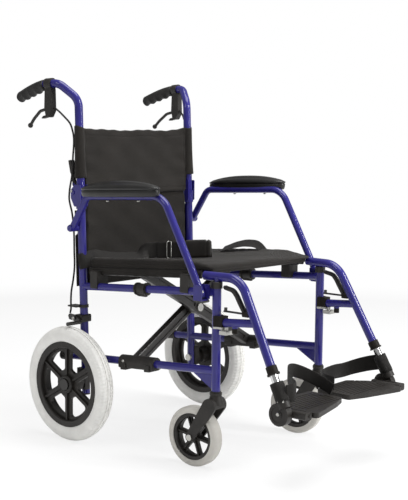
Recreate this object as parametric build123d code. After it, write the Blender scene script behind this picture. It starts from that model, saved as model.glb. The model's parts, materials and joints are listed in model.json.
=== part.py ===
"""Transport wheelchair with a folding cross-braced frame, modelled in millimetres.

The chair faces -Y, +Z is up, and the occupant's right side is at -X.
The right-hand pieces are modelled and the left-hand ones are their mirror images.
While modelling, Y = 0 is the rear axle; at the end everything moves by -ORIGIN_Y,
so that the origin lies on the floor under the middle of the chair.
"""
from build123d import *
import os
from math import atan2, cos, degrees, hypot, radians, sin, tan

# Wheels
REAR_RIM_R = 113.5
REAR_TYRE_DEPTH = 39.0
REAR_WHEEL_R = REAR_RIM_R + REAR_TYRE_DEPTH
REAR_TYRE_R = 23.5
REAR_WHEEL_X = 270.5
REAR_RIM_WIDTH = 38.0
REAR_HUB_R = 24.0
REAR_HUB_INNER = 26.0
REAR_HUB_OUTER = 20.0
SPOKES = 6
CASTOR_R = 75.0
CASTOR_TYRE_WIDTH = 30.0
CASTOR_RIM_R = 58.0
CASTOR_TRAIL = 62.0
CASTOR_TURN = {"right": 3.0, "left": -10.0}
FORK_GAP = 36.0
FORK_LEG = 6.0

# Side frame
TUBE_R = 11.0
TUBE_WALL = 1.5
RAIL_R = 10.0
POST_X = 214.0
FRONT_POST_Y = -457.0
POST_BOTTOM = 196.0
POST_TOP = 452.0
RAIL_TILT = 3.8
LOWER_RAIL_Z = 246.0
RAIL_SPACING = 190.6
TIPPING_END_Y = 85.0
REAR_LEAN = 2.0
REAR_POST_BOTTOM = 118.0
GUSSET_LENGTH = 62.0
GUSSET_DROP = 38.0
GUSSET_T = 4.0

# Back
HINGE_Z = 648.0
HINGE_BACK = 17.0
HINGE_RISE = 7.5
HINGE_PIN_R = 4.0
HINGE_PLATE_T = 2.5
CANE_TOP_Z = 900.0
HANDLE_X = 250.0
HANDLE_Y = 113.0
HANDLE_Z = 940.0
HANDLE_END_Y = 212.0
HANDLE_DROP = 29.0
GRIP_R = 16.5
GRIP_LENGTH = 108.0
GRIP_START = 10.0
CANE_BENDS = [45, 35, 60]
SLING_BOTTOM = 700.0
SLING_TOP = 833.0
SLING_T = 5.0
SLEEVE_R = 13.3

# Arm rests
ARM_R = 9.5
ARM_X = 240.0
ARM_PIVOT_Y = 22.0
ARM_PIVOT_Z = 562.0
ARM_REAR_BEND = (-35.0, 649.0)
ARM_FRONT_BEND = (-303.0, 661.0)
ARM_FOOT = (-430.0, 433.0)
PAD_X = 255.0
PAD_WIDTH = 48.0
PAD_LENGTH = 288.0
PAD_T = 27.0
PAD_FRONT_Y = -308.0
PAD_SEAT = 1.5

# Cross brace and seat
BRACE_Y = -200.0
BRACE_WIDTH = 30.0
BRACE_T = 20.0
BRACE_OFFSET = 4.0
CLAMP_R = 17.0
CLAMP_LENGTH = 120.0
SEAT_RAIL_X = 200.0
SEAT_RAIL_R = 11.0
SEAT_RAIL_RISE = 41.0
SEAT_RAIL_REAR = -25.0
SEAT_RAIL_FRONT = -392.0
SEAT_T = 25.0
SEAT_HALF = 209.0
SEAT_REAR = -6.0
SEAT_FRONT = -427.0
SADDLE_YS = (-43.0, -361.0)
SADDLE_WIDTH = 26.0

# Leg rests
HANGER_Z = 474.0
HANGER_REAR_Y = -417.0
HANGER_BEND = (-201.0, -519.0)
HANGER_END = (-218.0, -634.0, 264.0)
HANGER_BEND_R = 60.0
HANGER_PIN_R = 6.0
HANGER_PIN_BOTTOM = 427.0
STUB_Z = 366.0
EXTENSION_GRIP = 110.0
EXTENSION_LOW = 66.0
HUB_X = 233.0
HUB_Y = -660.0
HUB_Z = 176.4
HUB_R = 27.0
HUB_T = 19.0
PLATE_PIN_X = 198.0
PLATE_PIN_Z = 178.0
PLATE_T = 12.0
PLATE_GAP = 28.0
PLATE_PIN_R = 4.0
PLATE_ARM_HALF = 5.0

# Brakes
LEVER_PIVOT = (104.0, 876.0)
BRAKE_PIVOT = (16.0, 322.0)
SHOE_R = 5.0
SHOE_GAP = 3.0
SHOE_REACH = 20.0
CABLE_R = 2.5

# Fits
RUNNING = 0.05
CLEAR = 0.3

FLOOR_TO_AXLE = REAR_WHEEL_R
PLATE_FRONT_Y = -736.0
ORIGIN_Y = (HANDLE_END_Y + 14.0 + PLATE_FRONT_Y) / 2


def lower_rail_z(y):
    """Height of the lower rail's centre line: it rises towards the front."""
    return LOWER_RAIL_Z - (y - FRONT_POST_Y) * tan(radians(RAIL_TILT))


def upper_rail_z(y):
    return lower_rail_z(y) + RAIL_SPACING


def seat_rail_z(y):
    return upper_rail_z(y) + SEAT_RAIL_RISE


def rear_post_y(z):
    """The rear post and back tube lean backwards from the axle."""
    return (z - FLOOR_TO_AXLE) * tan(radians(REAR_LEAN))


def rod(start, end, radius):
    """Round bar between two points."""
    a, b = Vector(*start), Vector(*end)
    axis = b - a
    bar = Cylinder(radius, axis.length, align=(Align.CENTER, Align.CENTER, Align.MIN))
    return Plane(origin=a, z_dir=axis) * bar


def block(x0, x1, y0, y1, z0, z1):
    """Box between two opposite corners."""
    size = (abs(x1 - x0), abs(y1 - y0), abs(z1 - z0))
    return Pos((x0 + x1) / 2, (y0 + y1) / 2, (z0 + z1) / 2) * Box(*size)


def bent_tube(points, radius, bends):
    """Round bar along straight runs joined by arcs."""
    path = FilletPolyline(*points, radius=bends)
    section = Plane(origin=path @ 0, z_dir=path % 0) * Circle(radius)
    return sweep(section, path)


def bent_pipe(points, radius, wall, bends):
    """Open tube along straight runs joined by arcs."""
    return bent_tube(points, radius, bends) - bent_tube(points, radius - wall, bends)


def side_plate(points, x0, x1, corner=0.0):
    """Flat plate across X from an outline in Y and Z."""
    face = make_face(Polyline(*[(x0, y, z) for y, z in points], close=True))
    plate = extrude(face, amount=x1 - x0, dir=(1, 0, 0))
    if corner:
        plate = fillet(plate.edges().filter_by(Axis.X), corner)
    return plate


def post(z):
    """Point on the leaning rear post."""
    return (-POST_X, rear_post_y(z), z)


# Side frame


def side_frame():
    """Welded tube frame: two posts, two rails, gusset, back hinge and arm rest mounts."""
    front = ((-POST_X, FRONT_POST_Y, POST_BOTTOM), (-POST_X, FRONT_POST_Y, POST_TOP))
    rear = (post(REAR_POST_BOTTOM), post(HINGE_Z))
    upper_rear_y = rear_post_y(upper_rail_z(0))
    lower = ((-POST_X, FRONT_POST_Y, LOWER_RAIL_Z),
             (-POST_X, TIPPING_END_Y, lower_rail_z(TIPPING_END_Y)))
    upper = ((-POST_X, FRONT_POST_Y, upper_rail_z(FRONT_POST_Y)),
             (-POST_X, upper_rear_y, upper_rail_z(upper_rear_y)))
    outer = rod(*front, TUBE_R) + rod(*rear, TUBE_R) + rod(*lower, RAIL_R) + rod(*upper, RAIL_R)
    outer += gusset() + hinge_sleeve() + arm_mounts()
    inner = rod(*front, TUBE_R - TUBE_WALL) + rod(*rear, TUBE_R - TUBE_WALL)
    inner += rod(*lower, RAIL_R - TUBE_WALL) + rod(*upper, RAIL_R - TUBE_WALL)
    axle_hole = rod((-POST_X - 2 * TUBE_R, 0, FLOOR_TO_AXLE),
                    (-POST_X + 2 * TUBE_R, 0, FLOOR_TO_AXLE), AXLE_R + RUNNING)
    return outer - inner - axle_hole + hinge_plates()


def gusset():
    """Triangular web that braces the lower rail against the castor post."""
    face_y = FRONT_POST_Y + TUBE_R - 1
    tip_y = face_y + GUSSET_LENGTH
    rail_side = [(tip_y, lower_rail_z(tip_y) - RAIL_R + 1), (face_y, LOWER_RAIL_Z - RAIL_R + 1)]
    outline = rail_side + [(face_y, LOWER_RAIL_Z - RAIL_R - GUSSET_DROP)]
    return side_plate(outline, -POST_X - GUSSET_T / 2, -POST_X + GUSSET_T / 2)


def hinge_sleeve():
    """Reinforcing sleeve at the top of the rear post, under the back hinge."""
    return rod(post(HINGE_Z - 36), post(HINGE_Z - 2), TUBE_R + CLEAR + HINGE_PLATE_T)


def hinge_point():
    """Place of the back hinge pin in Y and Z."""
    return rear_post_y(HINGE_Z) + HINGE_BACK, HINGE_Z + HINGE_RISE


def hinge_plates():
    """Two cheeks that hold the back tube sideways, with the hinge pin through them."""
    y, z = hinge_point()
    tube_y = rear_post_y(HINGE_Z)
    outline = [(tube_y - 12, HINGE_Z - 30), (tube_y - 12, HINGE_Z + 28), (tube_y + 10, HINGE_Z + 28),
               (y + 8, HINGE_Z + 14), (y + 8, HINGE_Z - 8), (tube_y + 12, HINGE_Z - 30)]
    inside = TUBE_R + CLEAR
    outside = inside + HINGE_PLATE_T
    cheeks = side_plate(outline, -POST_X - outside, -POST_X - inside, 3)
    cheeks += side_plate(outline, -POST_X + inside, -POST_X + outside, 3)
    pin = rod((-POST_X - outside, y, z), (-POST_X + outside, y, z), HINGE_PIN_R)
    for side in (-1, 1):
        start = -POST_X + side * (outside - 0.5)
        pin += rod((start, y, z), (start + side * 2.5, y, z), HINGE_PIN_R + 2.5)
    return cheeks + pin


def arm_mounts():
    """Pivot pin for the arm rest on the rear post, and the open cradle for its front leg."""
    y, z = ARM_PIVOT_Y, ARM_PIVOT_Z
    inner_face = -ARM_X + ARM_R + 2 * CLEAR
    outer_face = -ARM_X - ARM_R - 2 * CLEAR
    pivot = rod((-POST_X - 4, y, z), (inner_face, y, z), ARM_R)
    pivot += rod((inner_face + 1, y, z), (outer_face - 1, y, z), ARM_PIN_R)
    pivot += rod((outer_face, y, z), (outer_face - 2.5, y, z), ARM_PIN_R + 3)
    foot_y, foot_z = ARM_FOOT
    low, high = foot_z - ARM_R - 3, foot_z + 22
    cheek = 3.0
    y0, y1 = foot_y - 12, foot_y + 14
    cradle = block(-POST_X - RAIL_R + 2, inner_face, y0, y1, low, high)
    cradle += block(outer_face, outer_face - cheek, y0, y1, low, high)
    cradle += block(inner_face + 1, outer_face - cheek, y0, y1, low - cheek, low)
    rail = rod((-POST_X, y0 - 1, upper_rail_z(y0 - 1)), (-POST_X, y1 + 1, upper_rail_z(y1 + 1)), RAIL_R - 1)
    return pivot + (cradle - rail)


AXLE_R = 6.0
ARM_PIN_R = 5.0


def frame_fittings():
    """Black plastic parts on the side frame, each its own moulding."""
    pieces = [post_cap(), castor_bush(), rear_post_plug(), tipping_cap(), rail_collar(),
              axle_spacer(), brake_mount(), cable_stop()]
    pieces += [saddle(y) for y in SADDLE_YS]
    return Compound(children=pieces)


def post_cap():
    """Cap on the front post that carries the leg rest's pin."""
    top = HANGER_Z - TUBE_R - CLEAR
    cap = Pos(-POST_X, FRONT_POST_Y, 0) * rod((0, 0, POST_TOP - 5), (0, 0, top), TUBE_R + 2.5)
    cap = fillet(cap.edges().group_by(Axis.Z)[-1], 1.5)
    cap -= rod((-POST_X, FRONT_POST_Y, POST_TOP - 6), (-POST_X, FRONT_POST_Y, POST_TOP), TUBE_R + RUNNING)
    return cap - rod((-POST_X, FRONT_POST_Y, POST_TOP - 1), (-POST_X, FRONT_POST_Y, top + 1),
                     HANGER_PIN_R + RUNNING)


def castor_bush():
    """Bearing bush in the foot of the front post, for the castor's stem."""
    x, y = -POST_X, FRONT_POST_Y
    bush = rod((x, y, POST_BOTTOM), (x, y, POST_BOTTOM + 34), TUBE_R - TUBE_WALL - RUNNING)
    bush += rod((x, y, POST_BOTTOM - 3), (x, y, POST_BOTTOM), TUBE_R + 2)
    return bush - rod((x, y, POST_BOTTOM - 4), (x, y, POST_BOTTOM + 35), STEM_R + RUNNING)


STEM_R = 6.0


def rear_post_plug():
    inside = rod(post(REAR_POST_BOTTOM), post(REAR_POST_BOTTOM + 12), TUBE_R - TUBE_WALL - RUNNING)
    return inside + rod(post(REAR_POST_BOTTOM - 4), post(REAR_POST_BOTTOM), TUBE_R)


def tipping_cap():
    """Ribbed end cap on the stub that the attendant's foot presses to tip the chair."""
    def along(y):
        return (-POST_X, y, lower_rail_z(y))
    cap = rod(along(TIPPING_END_Y - 24), along(TIPPING_END_Y + 5), RAIL_R + 3)
    cap -= rod(along(TIPPING_END_Y - 25), along(TIPPING_END_Y), RAIL_R + RUNNING)
    for step in range(3):
        y = TIPPING_END_Y - 19 + 8 * step
        cap -= rod(along(y), along(y + 3), RAIL_R + 4) - rod(along(y - 1), along(y + 4), RAIL_R + 2)
    return cap


def rail_collar():
    """Split collar on the upper rail, with its clamping lugs."""
    def along(y):
        return (-POST_X, y, upper_rail_z(y))
    collar = rod(along(-230), along(-190), RAIL_R + 4)
    for y in (-228, -197):
        collar += rod(along(y), along(y + 5), RAIL_R + 6.5)
    collar += block(-POST_X - 4, -POST_X + 4, -224, -196, upper_rail_z(-210) - 19, upper_rail_z(-210))
    return collar - rod(along(-235), along(-185), RAIL_R + RUNNING)


def axle_spacer():
    """Housing between the rear post and the wheel hub, on the axle."""
    hub_face = -REAR_WHEEL_X + REAR_HUB_INNER
    spacer = rod((-POST_X - TUBE_R, 0, FLOOR_TO_AXLE), (hub_face + 0.5, 0, FLOOR_TO_AXLE), 15)
    spacer += block(-POST_X - TUBE_R - 6, -POST_X, -16, 16, FLOOR_TO_AXLE - 22, FLOOR_TO_AXLE + 34)
    spacer -= rod(post(FLOOR_TO_AXLE - 40), post(FLOOR_TO_AXLE + 60), TUBE_R + RUNNING)
    return spacer - rod((-POST_X, 0, FLOOR_TO_AXLE), (hub_face, 0, FLOOR_TO_AXLE), AXLE_R + RUNNING)


def brake_mount():
    """Clamp block on the rear post with the pin of the tyre brake."""
    y, z = BRAKE_PIVOT
    mount = block(-POST_X - 21, -POST_X + 13, -8, y + 6, z - 11, z + 9)
    mount = fillet(mount.edges().filter_by(Axis.X), 4)
    mount -= rod(post(z - 30), post(z + 30), TUBE_R + RUNNING)
    return mount + rod((-POST_X - 14, y, z), (-POST_X - 30, y, z), BRAKE_PIN_R)


BRAKE_PIN_R = 4.0
CABLE_STOP_Z = 353.0


def cable_stop():
    """Ring on the rear post with the tab where the brake cable's housing ends."""
    z = CABLE_STOP_Z
    ring = rod(post(z - 4), post(z + 4), TUBE_R + 2)
    ring += block(-POST_X, CABLE_X - 6, rear_post_y(z), CABLE_LOW_Y + 6, z - 2, z + 2)
    ring -= rod(post(z - 6), post(z + 6), TUBE_R + RUNNING)
    return ring - rod((CABLE_X, CABLE_LOW_Y, z - 5), (CABLE_X, CABLE_LOW_Y, z + 5), CABLE_R + CLEAR)


CABLE_TOP_X = -226.0
CABLE_X = -236.0
CABLE_LOW_Y = 34.0
CABLE_END_Z = 333.0


def saddle(y):
    """Cradle clipped on the upper rail: the seat rail drops into it from above."""
    rail_z, seat_z = upper_rail_z(y), seat_rail_z(y)
    half = SADDLE_WIDTH / 2
    body = block(-POST_X - RAIL_R - 2, -SEAT_RAIL_X + SEAT_RAIL_R + 3, y - half, y + half,
                 rail_z - 4, seat_z + 2)
    body = fillet(body.edges().filter_by(Axis.Y), 3)
    body -= rod((-POST_X, y - half - 1, upper_rail_z(y - half - 1)),
                (-POST_X, y + half + 1, upper_rail_z(y + half + 1)), RAIL_R + RUNNING)
    cup = SEAT_RAIL_R + 2 * CLEAR
    ends = [(-SEAT_RAIL_X, y + side * (half + 1), seat_rail_z(y + side * (half + 1))) for side in (-1, 1)]
    body -= rod(*ends, cup)
    body -= block(-SEAT_RAIL_X - cup, -SEAT_RAIL_X + cup, y - half - 1, y + half + 1, seat_z, seat_z + 9)
    return body


# Wheels, with the axle along Z and the outer side towards +Z


def spoke_windows(inner, outer, spoke, corner):
    """Openings between the spokes, with rounded corners."""
    ring = Circle(outer) - Circle(inner)
    for index in range(SPOKES // 2):
        ring -= Rot(0, 0, 360 / SPOKES * index) * Rectangle(2.2 * outer, spoke)
    return fillet(ring.vertices(), corner)


def wheel_place(x, y, z):
    """Turns a wheel's own Z axis towards the chair's outer right side."""
    return Pos(x, y, z) * Rot(0, -90, 0)


def rear_rim():
    """Six-spoke moulded rim with a tyre channel, ribbed spokes and a long hub."""
    half = REAR_RIM_WIDTH / 2
    well = REAR_RIM_R - 8.5
    lip = half - 3.5
    outline = [(well - 8, -half + 2), (well - 6, -half), (REAR_RIM_R, -half), (REAR_RIM_R, -lip),
               (well, -lip + 2.5), (well, lip - 2.5), (REAR_RIM_R, lip), (REAR_RIM_R, half),
               (well - 6, half), (well - 8, half - 2)]
    ring = revolve(make_face(Polyline(*[(r, 0, h) for r, h in outline], close=True)), Axis.Z)
    web = extrude(Circle(well - 7) - spoke_windows(REAR_HUB_R + 15, well - 16, 21, 8), 9)
    hub = Pos(0, 0, -REAR_HUB_INNER) * Cylinder(
        REAR_HUB_R, REAR_HUB_INNER + REAR_HUB_OUTER, align=(Align.CENTER, Align.CENTER, Align.MIN))
    hub = chamfer(hub.edges().group_by(Axis.Z)[-1], 3)
    wheel = ring + web + hub
    for index in range(SPOKES):
        rib = Box(well - 7 - REAR_HUB_R, 5, 15, align=(Align.MIN, Align.CENTER, Align.MIN))
        wheel += Rot(0, 0, 360 / SPOKES * index) * Pos(REAR_HUB_R - 1, 0, -1) * rib
    wheel -= Pos(0, 0, REAR_HUB_OUTER) * Cylinder(REAR_HUB_R - 7, 5)
    wheel -= Cylinder(AXLE_R + RUNNING, 200)
    return wheel_place(-REAR_WHEEL_X, 0, FLOOR_TO_AXLE) * wheel


def rear_tyre():
    """Balloon tyre whose bead fills the rim's channel, with grooves round the tread."""
    centre = REAR_WHEEL_R - REAR_TYRE_R
    well = REAR_RIM_R - 8.5
    bead = REAR_RIM_WIDTH / 2 - 6.2
    plane = Plane.XZ
    outline = plane * (Pos(centre, 0) * Circle(REAR_TYRE_R))
    outline -= plane * (Pos(REAR_RIM_R + 0.5 - 50, 0) * Rectangle(100, 100))
    outline += plane * (Pos((well + 0.2 + centre) / 2, 0) * Rectangle(centre - well - 0.2, 2 * bead))
    for h in (-8, 0, 8):
        outline -= plane * (Pos(REAR_WHEEL_R - 0.6 - abs(h) / 6, h) * Rectangle(3.2, 2.4))
    tyre = revolve(outline, Axis.Z)
    return wheel_place(-REAR_WHEEL_X, 0, FLOOR_TO_AXLE) * tyre


def rear_axle():
    """Axle bolt through the post, spacer and hub, with a head at each end."""
    inner = -POST_X + TUBE_R
    outer = -REAR_WHEEL_X - REAR_HUB_OUTER
    y, z = 0, FLOOR_TO_AXLE
    axle = rod((inner + 1, y, z), (outer - 2, y, z), AXLE_R)
    axle += rod((inner, y, z), (inner + 5, y, z), AXLE_R + 4)
    return axle + rod((outer + 1.5, y, z), (outer - 3, y, z), REAR_HUB_R - 9)


def castor_place(side):
    """Puts a castor, modelled round its stem, on the right front post."""
    return Pos(-POST_X, FRONT_POST_Y, 0) * Rot(0, 0, CASTOR_TURN[side])


def castor_fork(side):
    """Fork: stem, bell and two legs that sweep back to the axle."""
    top = POST_BOTTOM - 3 - CLEAR
    stem = rod((0, 0, top - 2), (0, 0, POST_BOTTOM + 32), STEM_R)
    bell = rod((0, 0, top - 6), (0, 0, top), TUBE_R + 4)
    cone = Cone(20, TUBE_R + 2.5, 22, align=(Align.CENTER, Align.CENTER, Align.MAX))
    bell += Pos(0, 0, top - 6) * cone
    half = FORK_GAP / 2
    crown = Circle(19)
    axle_eye = Pos(CASTOR_TRAIL, CASTOR_R) * Circle(12)
    side_shape = make_hull((Pos(4, top - 32) * crown).edges() + axle_eye.edges())
    side_face = Plane(origin=(0, 0, 0), x_dir=(0, 1, 0), z_dir=(1, 0, 0)) * side_shape
    legs = extrude(side_face, amount=half + FORK_LEG, both=True)
    legs -= block(-half, half, -60, 140, 0, top - 38)
    round_wheel = rod((-half, CASTOR_TRAIL, CASTOR_R), (half, CASTOR_TRAIL, CASTOR_R), CASTOR_R + 9)
    fork = stem + bell + (legs - round_wheel)
    bore = rod((-60, CASTOR_TRAIL, CASTOR_R), (60, CASTOR_TRAIL, CASTOR_R), CASTOR_AXLE_R + RUNNING)
    return castor_place(side) * (fork - bore)


CASTOR_AXLE_R = 4.0


def castor_wheel_place(side):
    return castor_place(side) * wheel_place(0, CASTOR_TRAIL, CASTOR_R)


def castor_rim(side):
    """Small six-spoke wheel with a ribbed hub."""
    half = CASTOR_TYRE_WIDTH / 2 - 2
    outline = [(CASTOR_RIM_R - 8, -half), (CASTOR_RIM_R, -half), (CASTOR_RIM_R, -half + 3),
               (CASTOR_RIM_R - 4, -half + 4), (CASTOR_RIM_R - 4, half - 4), (CASTOR_RIM_R, half - 3),
               (CASTOR_RIM_R, half), (CASTOR_RIM_R - 8, half)]
    ring = revolve(make_face(Polyline(*[(r, 0, h) for r, h in outline], close=True)), Axis.Z)
    web = extrude(Circle(CASTOR_RIM_R - 6) - spoke_windows(18, CASTOR_RIM_R - 10, 12, 4), 4, both=True)
    hub = Cylinder(11, FORK_GAP - 2 * CLEAR)
    wheel = ring + web + hub
    for index in range(SPOKES):
        rib = Box(CASTOR_RIM_R - 17, 3.5, 16, align=(Align.MIN, Align.CENTER, Align.CENTER))
        wheel += Rot(0, 0, 360 / SPOKES * index) * Pos(10, 0, 0) * rib
    wheel -= Cylinder(CASTOR_AXLE_R + RUNNING, 100)
    return castor_wheel_place(side) * Rot(0, 0, 20) * wheel


def castor_tyre(side):
    """Solid tyre with rounded shoulders."""
    half = CASTOR_TYRE_WIDTH / 2
    bead = half - 6.4
    plane = Plane.XZ
    depth = CASTOR_R - CASTOR_RIM_R - 0.3
    tread = Pos(CASTOR_R - depth / 2, 0) * Rectangle(depth, 2 * half)
    tread = fillet(tread.vertices().group_by(Axis.X)[-1], 7)
    root = Pos(CASTOR_RIM_R - 1.3, 0) * Rectangle(5, 2 * bead)
    outline = plane * (tread + root)
    return castor_wheel_place(side) * revolve(outline, Axis.Z)


def castor_axle(side):
    reach = FORK_GAP / 2 + FORK_LEG
    axle = Cylinder(CASTOR_AXLE_R, 2 * reach + 1)
    for end in (-1, 1):
        head = fillet(Cylinder(8, 3.5).edges().filter_by(GeomType.CIRCLE), 1)
        axle += Pos(0, 0, end * (reach + 1.75)) * head
    return castor_wheel_place(side) * axle


# Back


def cane_points():
    """Corner points of the back tube, from the hinge to the end of the push handle."""
    return [post(HINGE_Z + CLEAR), (-POST_X, rear_post_y(CANE_TOP_Z), CANE_TOP_Z),
            (-HANDLE_X + 6, HANDLE_Y - 43, HANDLE_Z + 2), (-HANDLE_X, HANDLE_Y, HANDLE_Z),
            (-HANDLE_X + 4, HANDLE_END_Y, HANDLE_Z - HANDLE_DROP)]


def back_cane():
    """Upper back tube with its hinge ear, bent outwards and backwards into the push handle."""
    cane = bent_pipe(cane_points(), TUBE_R, TUBE_WALL, CANE_BENDS)
    y, z = hinge_point()
    half = TUBE_R - 0.2
    tube_y = rear_post_y(z)
    ear = rod((-POST_X - half, y, z), (-POST_X + half, y, z), HINGE_PIN_R + 3)
    ear += block(-POST_X - 5, -POST_X + 5, tube_y + 4, y, z - 4.5, z + 6)
    ry, rz = release_point()
    ear += block(-POST_X + 1, -POST_X + 9, tube_y + 4, ry, rz - 5, rz + 5)
    ear += rod((-POST_X + 1, ry, rz), (-POST_X + 9, ry, rz), RELEASE_PIN_R + 3)
    ear += rod((-POST_X + 2, ry, rz), (-POST_X - 8, ry, rz), RELEASE_PIN_R)
    ear -= bent_tube(cane_points(), TUBE_R - 0.5, CANE_BENDS)
    bore = rod((-POST_X - 2 * TUBE_R, y, z), (-POST_X + 2 * TUBE_R, y, z), HINGE_PIN_R + RUNNING)
    return cane + (ear - bore) - bore


RELEASE_PIN_R = 3.0
RELEASE_RISE = 29.0
RELEASE_BACK = 20.0
RELEASE_LENGTH = 62.0
RELEASE_LEAN = 13.0


def release_point():
    return rear_post_y(HINGE_Z) + RELEASE_BACK, HINGE_Z + RELEASE_RISE


def back_release_lever():
    """Thumb lever behind the back hinge that frees the folding back."""
    y, z = release_point()
    boss = rod((-POST_X - 7, y, z), (-POST_X + 1 - CLEAR, y, z), RELEASE_PIN_R + 3.5)
    outline = [(y - 3, z + 3), (y + 5, z), (y + 8 + RELEASE_LEAN, z + RELEASE_LENGTH),
               (y + RELEASE_LEAN, z + RELEASE_LENGTH + 2)]
    blade = side_plate(outline, -POST_X - 7, -POST_X + 1 - CLEAR, 2)
    thumb = side_plate([(y + RELEASE_LEAN / 2, z + 30), (y + 7 + RELEASE_LEAN / 2, z + 27),
                        (y + 9 + RELEASE_LEAN, z + RELEASE_LENGTH), (y + RELEASE_LEAN, z + RELEASE_LENGTH + 2)],
                       -POST_X - 7, -POST_X + 7, 2)
    lever = boss + blade + thumb
    return lever - rod((-POST_X - 20, y, z), (-POST_X + 20, y, z), RELEASE_PIN_R + RUNNING)


def handle_line(distance):
    """Point on the push handle's straight end, measured back from its last bend."""
    start, end = Vector(*cane_points()[3]), Vector(*cane_points()[4])
    return tuple(start + (end - start).normalized() * distance)


def push_grip():
    """Moulded grip with finger hollows underneath and a rounded end."""
    start, end = Vector(*handle_line(GRIP_START)), Vector(*handle_line(GRIP_START + GRIP_LENGTH))
    grip = Cylinder(GRIP_R, GRIP_LENGTH, align=(Align.CENTER, Align.CENTER, Align.MIN))
    grip = fillet(grip.edges().group_by(Axis.Z)[-1], 5)
    grip = fillet(grip.edges().group_by(Axis.Z)[0], 2)
    collar = Cylinder(GRIP_R + 2, 6, align=(Align.CENTER, Align.CENTER, Align.MIN))
    grip += fillet(collar.edges(), 1.5)
    for finger in range(4):
        hollow = Rot(0, 90, 0) * Cylinder(13, 60)
        grip -= Pos(0, -GRIP_R - 9.5, 22 + 21 * finger) * hollow
    along = end - start
    frame = Plane(origin=start, x_dir=(1, 0, 0), z_dir=along)
    placed = frame * grip
    if frame.y_dir.Z < 0:
        placed = frame * (Rot(0, 0, 180) * grip)
    return placed - rod(handle_line(0), handle_line(GRIP_CORE), TUBE_R + RUNNING)


GRIP_CORE = hypot(HANDLE_END_Y - HANDLE_Y, HANDLE_DROP) + 0.5


def brake_bracket():
    """Housing clamped round the push handle, which carries the brake lever."""
    y, z = LEVER_PIVOT
    latch_y, latch_z = latch_point()
    outline = [(y - 20, z - 6), (latch_y - 6, latch_z - 4), (latch_y + 5, latch_z - 5), (y + 8, z + 2),
               (y + 6, z + 52), (y + 5, z + 74), (y - 12, z + 76), (y - 18, z + 50)]
    body = side_plate(outline, -HANDLE_X - 8, -HANDLE_X + 10, 4)
    start, end = Vector(*cane_points()[2]), Vector(*cane_points()[3])
    along = (end - start).normalized()
    body += rod(tuple(end - along * 24), tuple(end - along * 2), TUBE_R + 4)
    body -= block(-HANDLE_X - 5.3, -HANDLE_X + 5.3, y - 8, y + 30, z - 9, z + 13)
    body -= block(-HANDLE_X - 5.3, -HANDLE_X + 5.3, latch_y - 5, y + 30, latch_z - 12, latch_z + 5)
    body += rod((-HANDLE_X - 6, y, z), (-HANDLE_X + 6, y, z), LEVER_PIN_R)
    body += rod((-HANDLE_X - 6, latch_y, latch_z), (-HANDLE_X + 6, latch_y, latch_z), LATCH_PIN_R)
    return body - bent_tube(cane_points(), TUBE_R + RUNNING, CANE_BENDS)


LEVER_PIN_R = 3.0
LATCH_PIN_R = 2.0


def brake_lever():
    """Curved blade below the grip, ending in a ball."""
    y, z = LEVER_PIVOT
    points = [(-HANDLE_X, y, z), (-HANDLE_X + 1, y + 34, z - 7), (-HANDLE_X + 3, y + 62, z - 28),
              (-HANDLE_X + 5, y + 79, z - 45)]
    lever = bent_tube(points, 4.2, [22, 60])
    lever += rod((-HANDLE_X - 5, y, z), (-HANDLE_X + 5, y, z), LEVER_PIN_R + 4)
    lever += Pos(*points[-1]) * Sphere(7)
    return lever - rod((-HANDLE_X - 9, y, z), (-HANDLE_X + 9, y, z), LEVER_PIN_R + RUNNING)


LATCH_DROP = 19.0


def latch_point():
    """Place of the parking latch's pin in Y and Z."""
    return LEVER_PIVOT[0] - 3, LEVER_PIVOT[1] - LATCH_DROP


def park_latch():
    """Small tab under the brake lever that holds it pulled for parking."""
    y, z = latch_point()
    tab = rod((-HANDLE_X - 5, y, z), (-HANDLE_X + 5, y, z), 4)
    outline = [(y, z + 3), (y + 20, z - 1), (y + 26, z - 7), (y + 22, z - 8), (y, z - 4)]
    tab += side_plate(outline, -HANDLE_X - 5, -HANDLE_X + 5, 1)
    return tab - rod((-HANDLE_X - 9, y, z), (-HANDLE_X + 9, y, z), LATCH_PIN_R + RUNNING)


def cable_points():
    """Route of the brake cable: down behind the back tube to the stop on the rear post."""
    top = LEVER_PIVOT
    return [(-HANDLE_X + 2, top[0] - 20.6, top[1] + 2), (-HANDLE_X + 3, top[0] - 38, top[1]),
            (CABLE_TOP_X - 3, 57, 836), (CABLE_TOP_X + 0.5, 50, 740), (CABLE_TOP_X + 0.5, 51, 640),
            (CABLE_TOP_X + 0.2, 48, 560), (CABLE_TOP_X, 42, 470), (CABLE_X, CABLE_LOW_Y, 392),
            (CABLE_X, CABLE_LOW_Y, CABLE_STOP_Z - 10), (CABLE_X - 1, CABLE_LOW_Y + 2, CABLE_END_Z)]


CABLE_BENDS = [14, 30, 300, 300, 300, 220, 120, 30]


def brake_cable():
    return bent_tube(cable_points(), CABLE_R, CABLE_BENDS)


def brake_arm():
    """Rocker on the rear post: the cable lifts its tail and the shoe presses on the tyre."""
    y, z = BRAKE_PIVOT
    shoe_y = y - SHOE_REACH
    shoe_z = FLOOR_TO_AXLE + REAR_WHEEL_R + SHOE_GAP + SHOE_R
    x0, x1 = -POST_X - 21 - CLEAR, -POST_X - 27
    boss = rod((x0, y, z), (x1, y, z), BRAKE_PIN_R + 4)
    outline = [(shoe_y - 4, shoe_z - 4), (shoe_y - 4, shoe_z + 5), (y - 3, z + 8), (y + 20, z + 10),
               (y + 24, z + 4), (y + 20, z - 5), (y, z - 8)]
    plate = side_plate(outline, x1, x0, 2)
    shoe = rod((x0, shoe_y, shoe_z), (-REAR_WHEEL_X - 14, shoe_y, shoe_z), SHOE_R)
    arm = boss + plate + fillet(shoe.edges().filter_by(GeomType.CIRCLE), 1)
    return arm - rod((x0 + 5, y, z), (x1 - 5, y, z), BRAKE_PIN_R + RUNNING)


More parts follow.
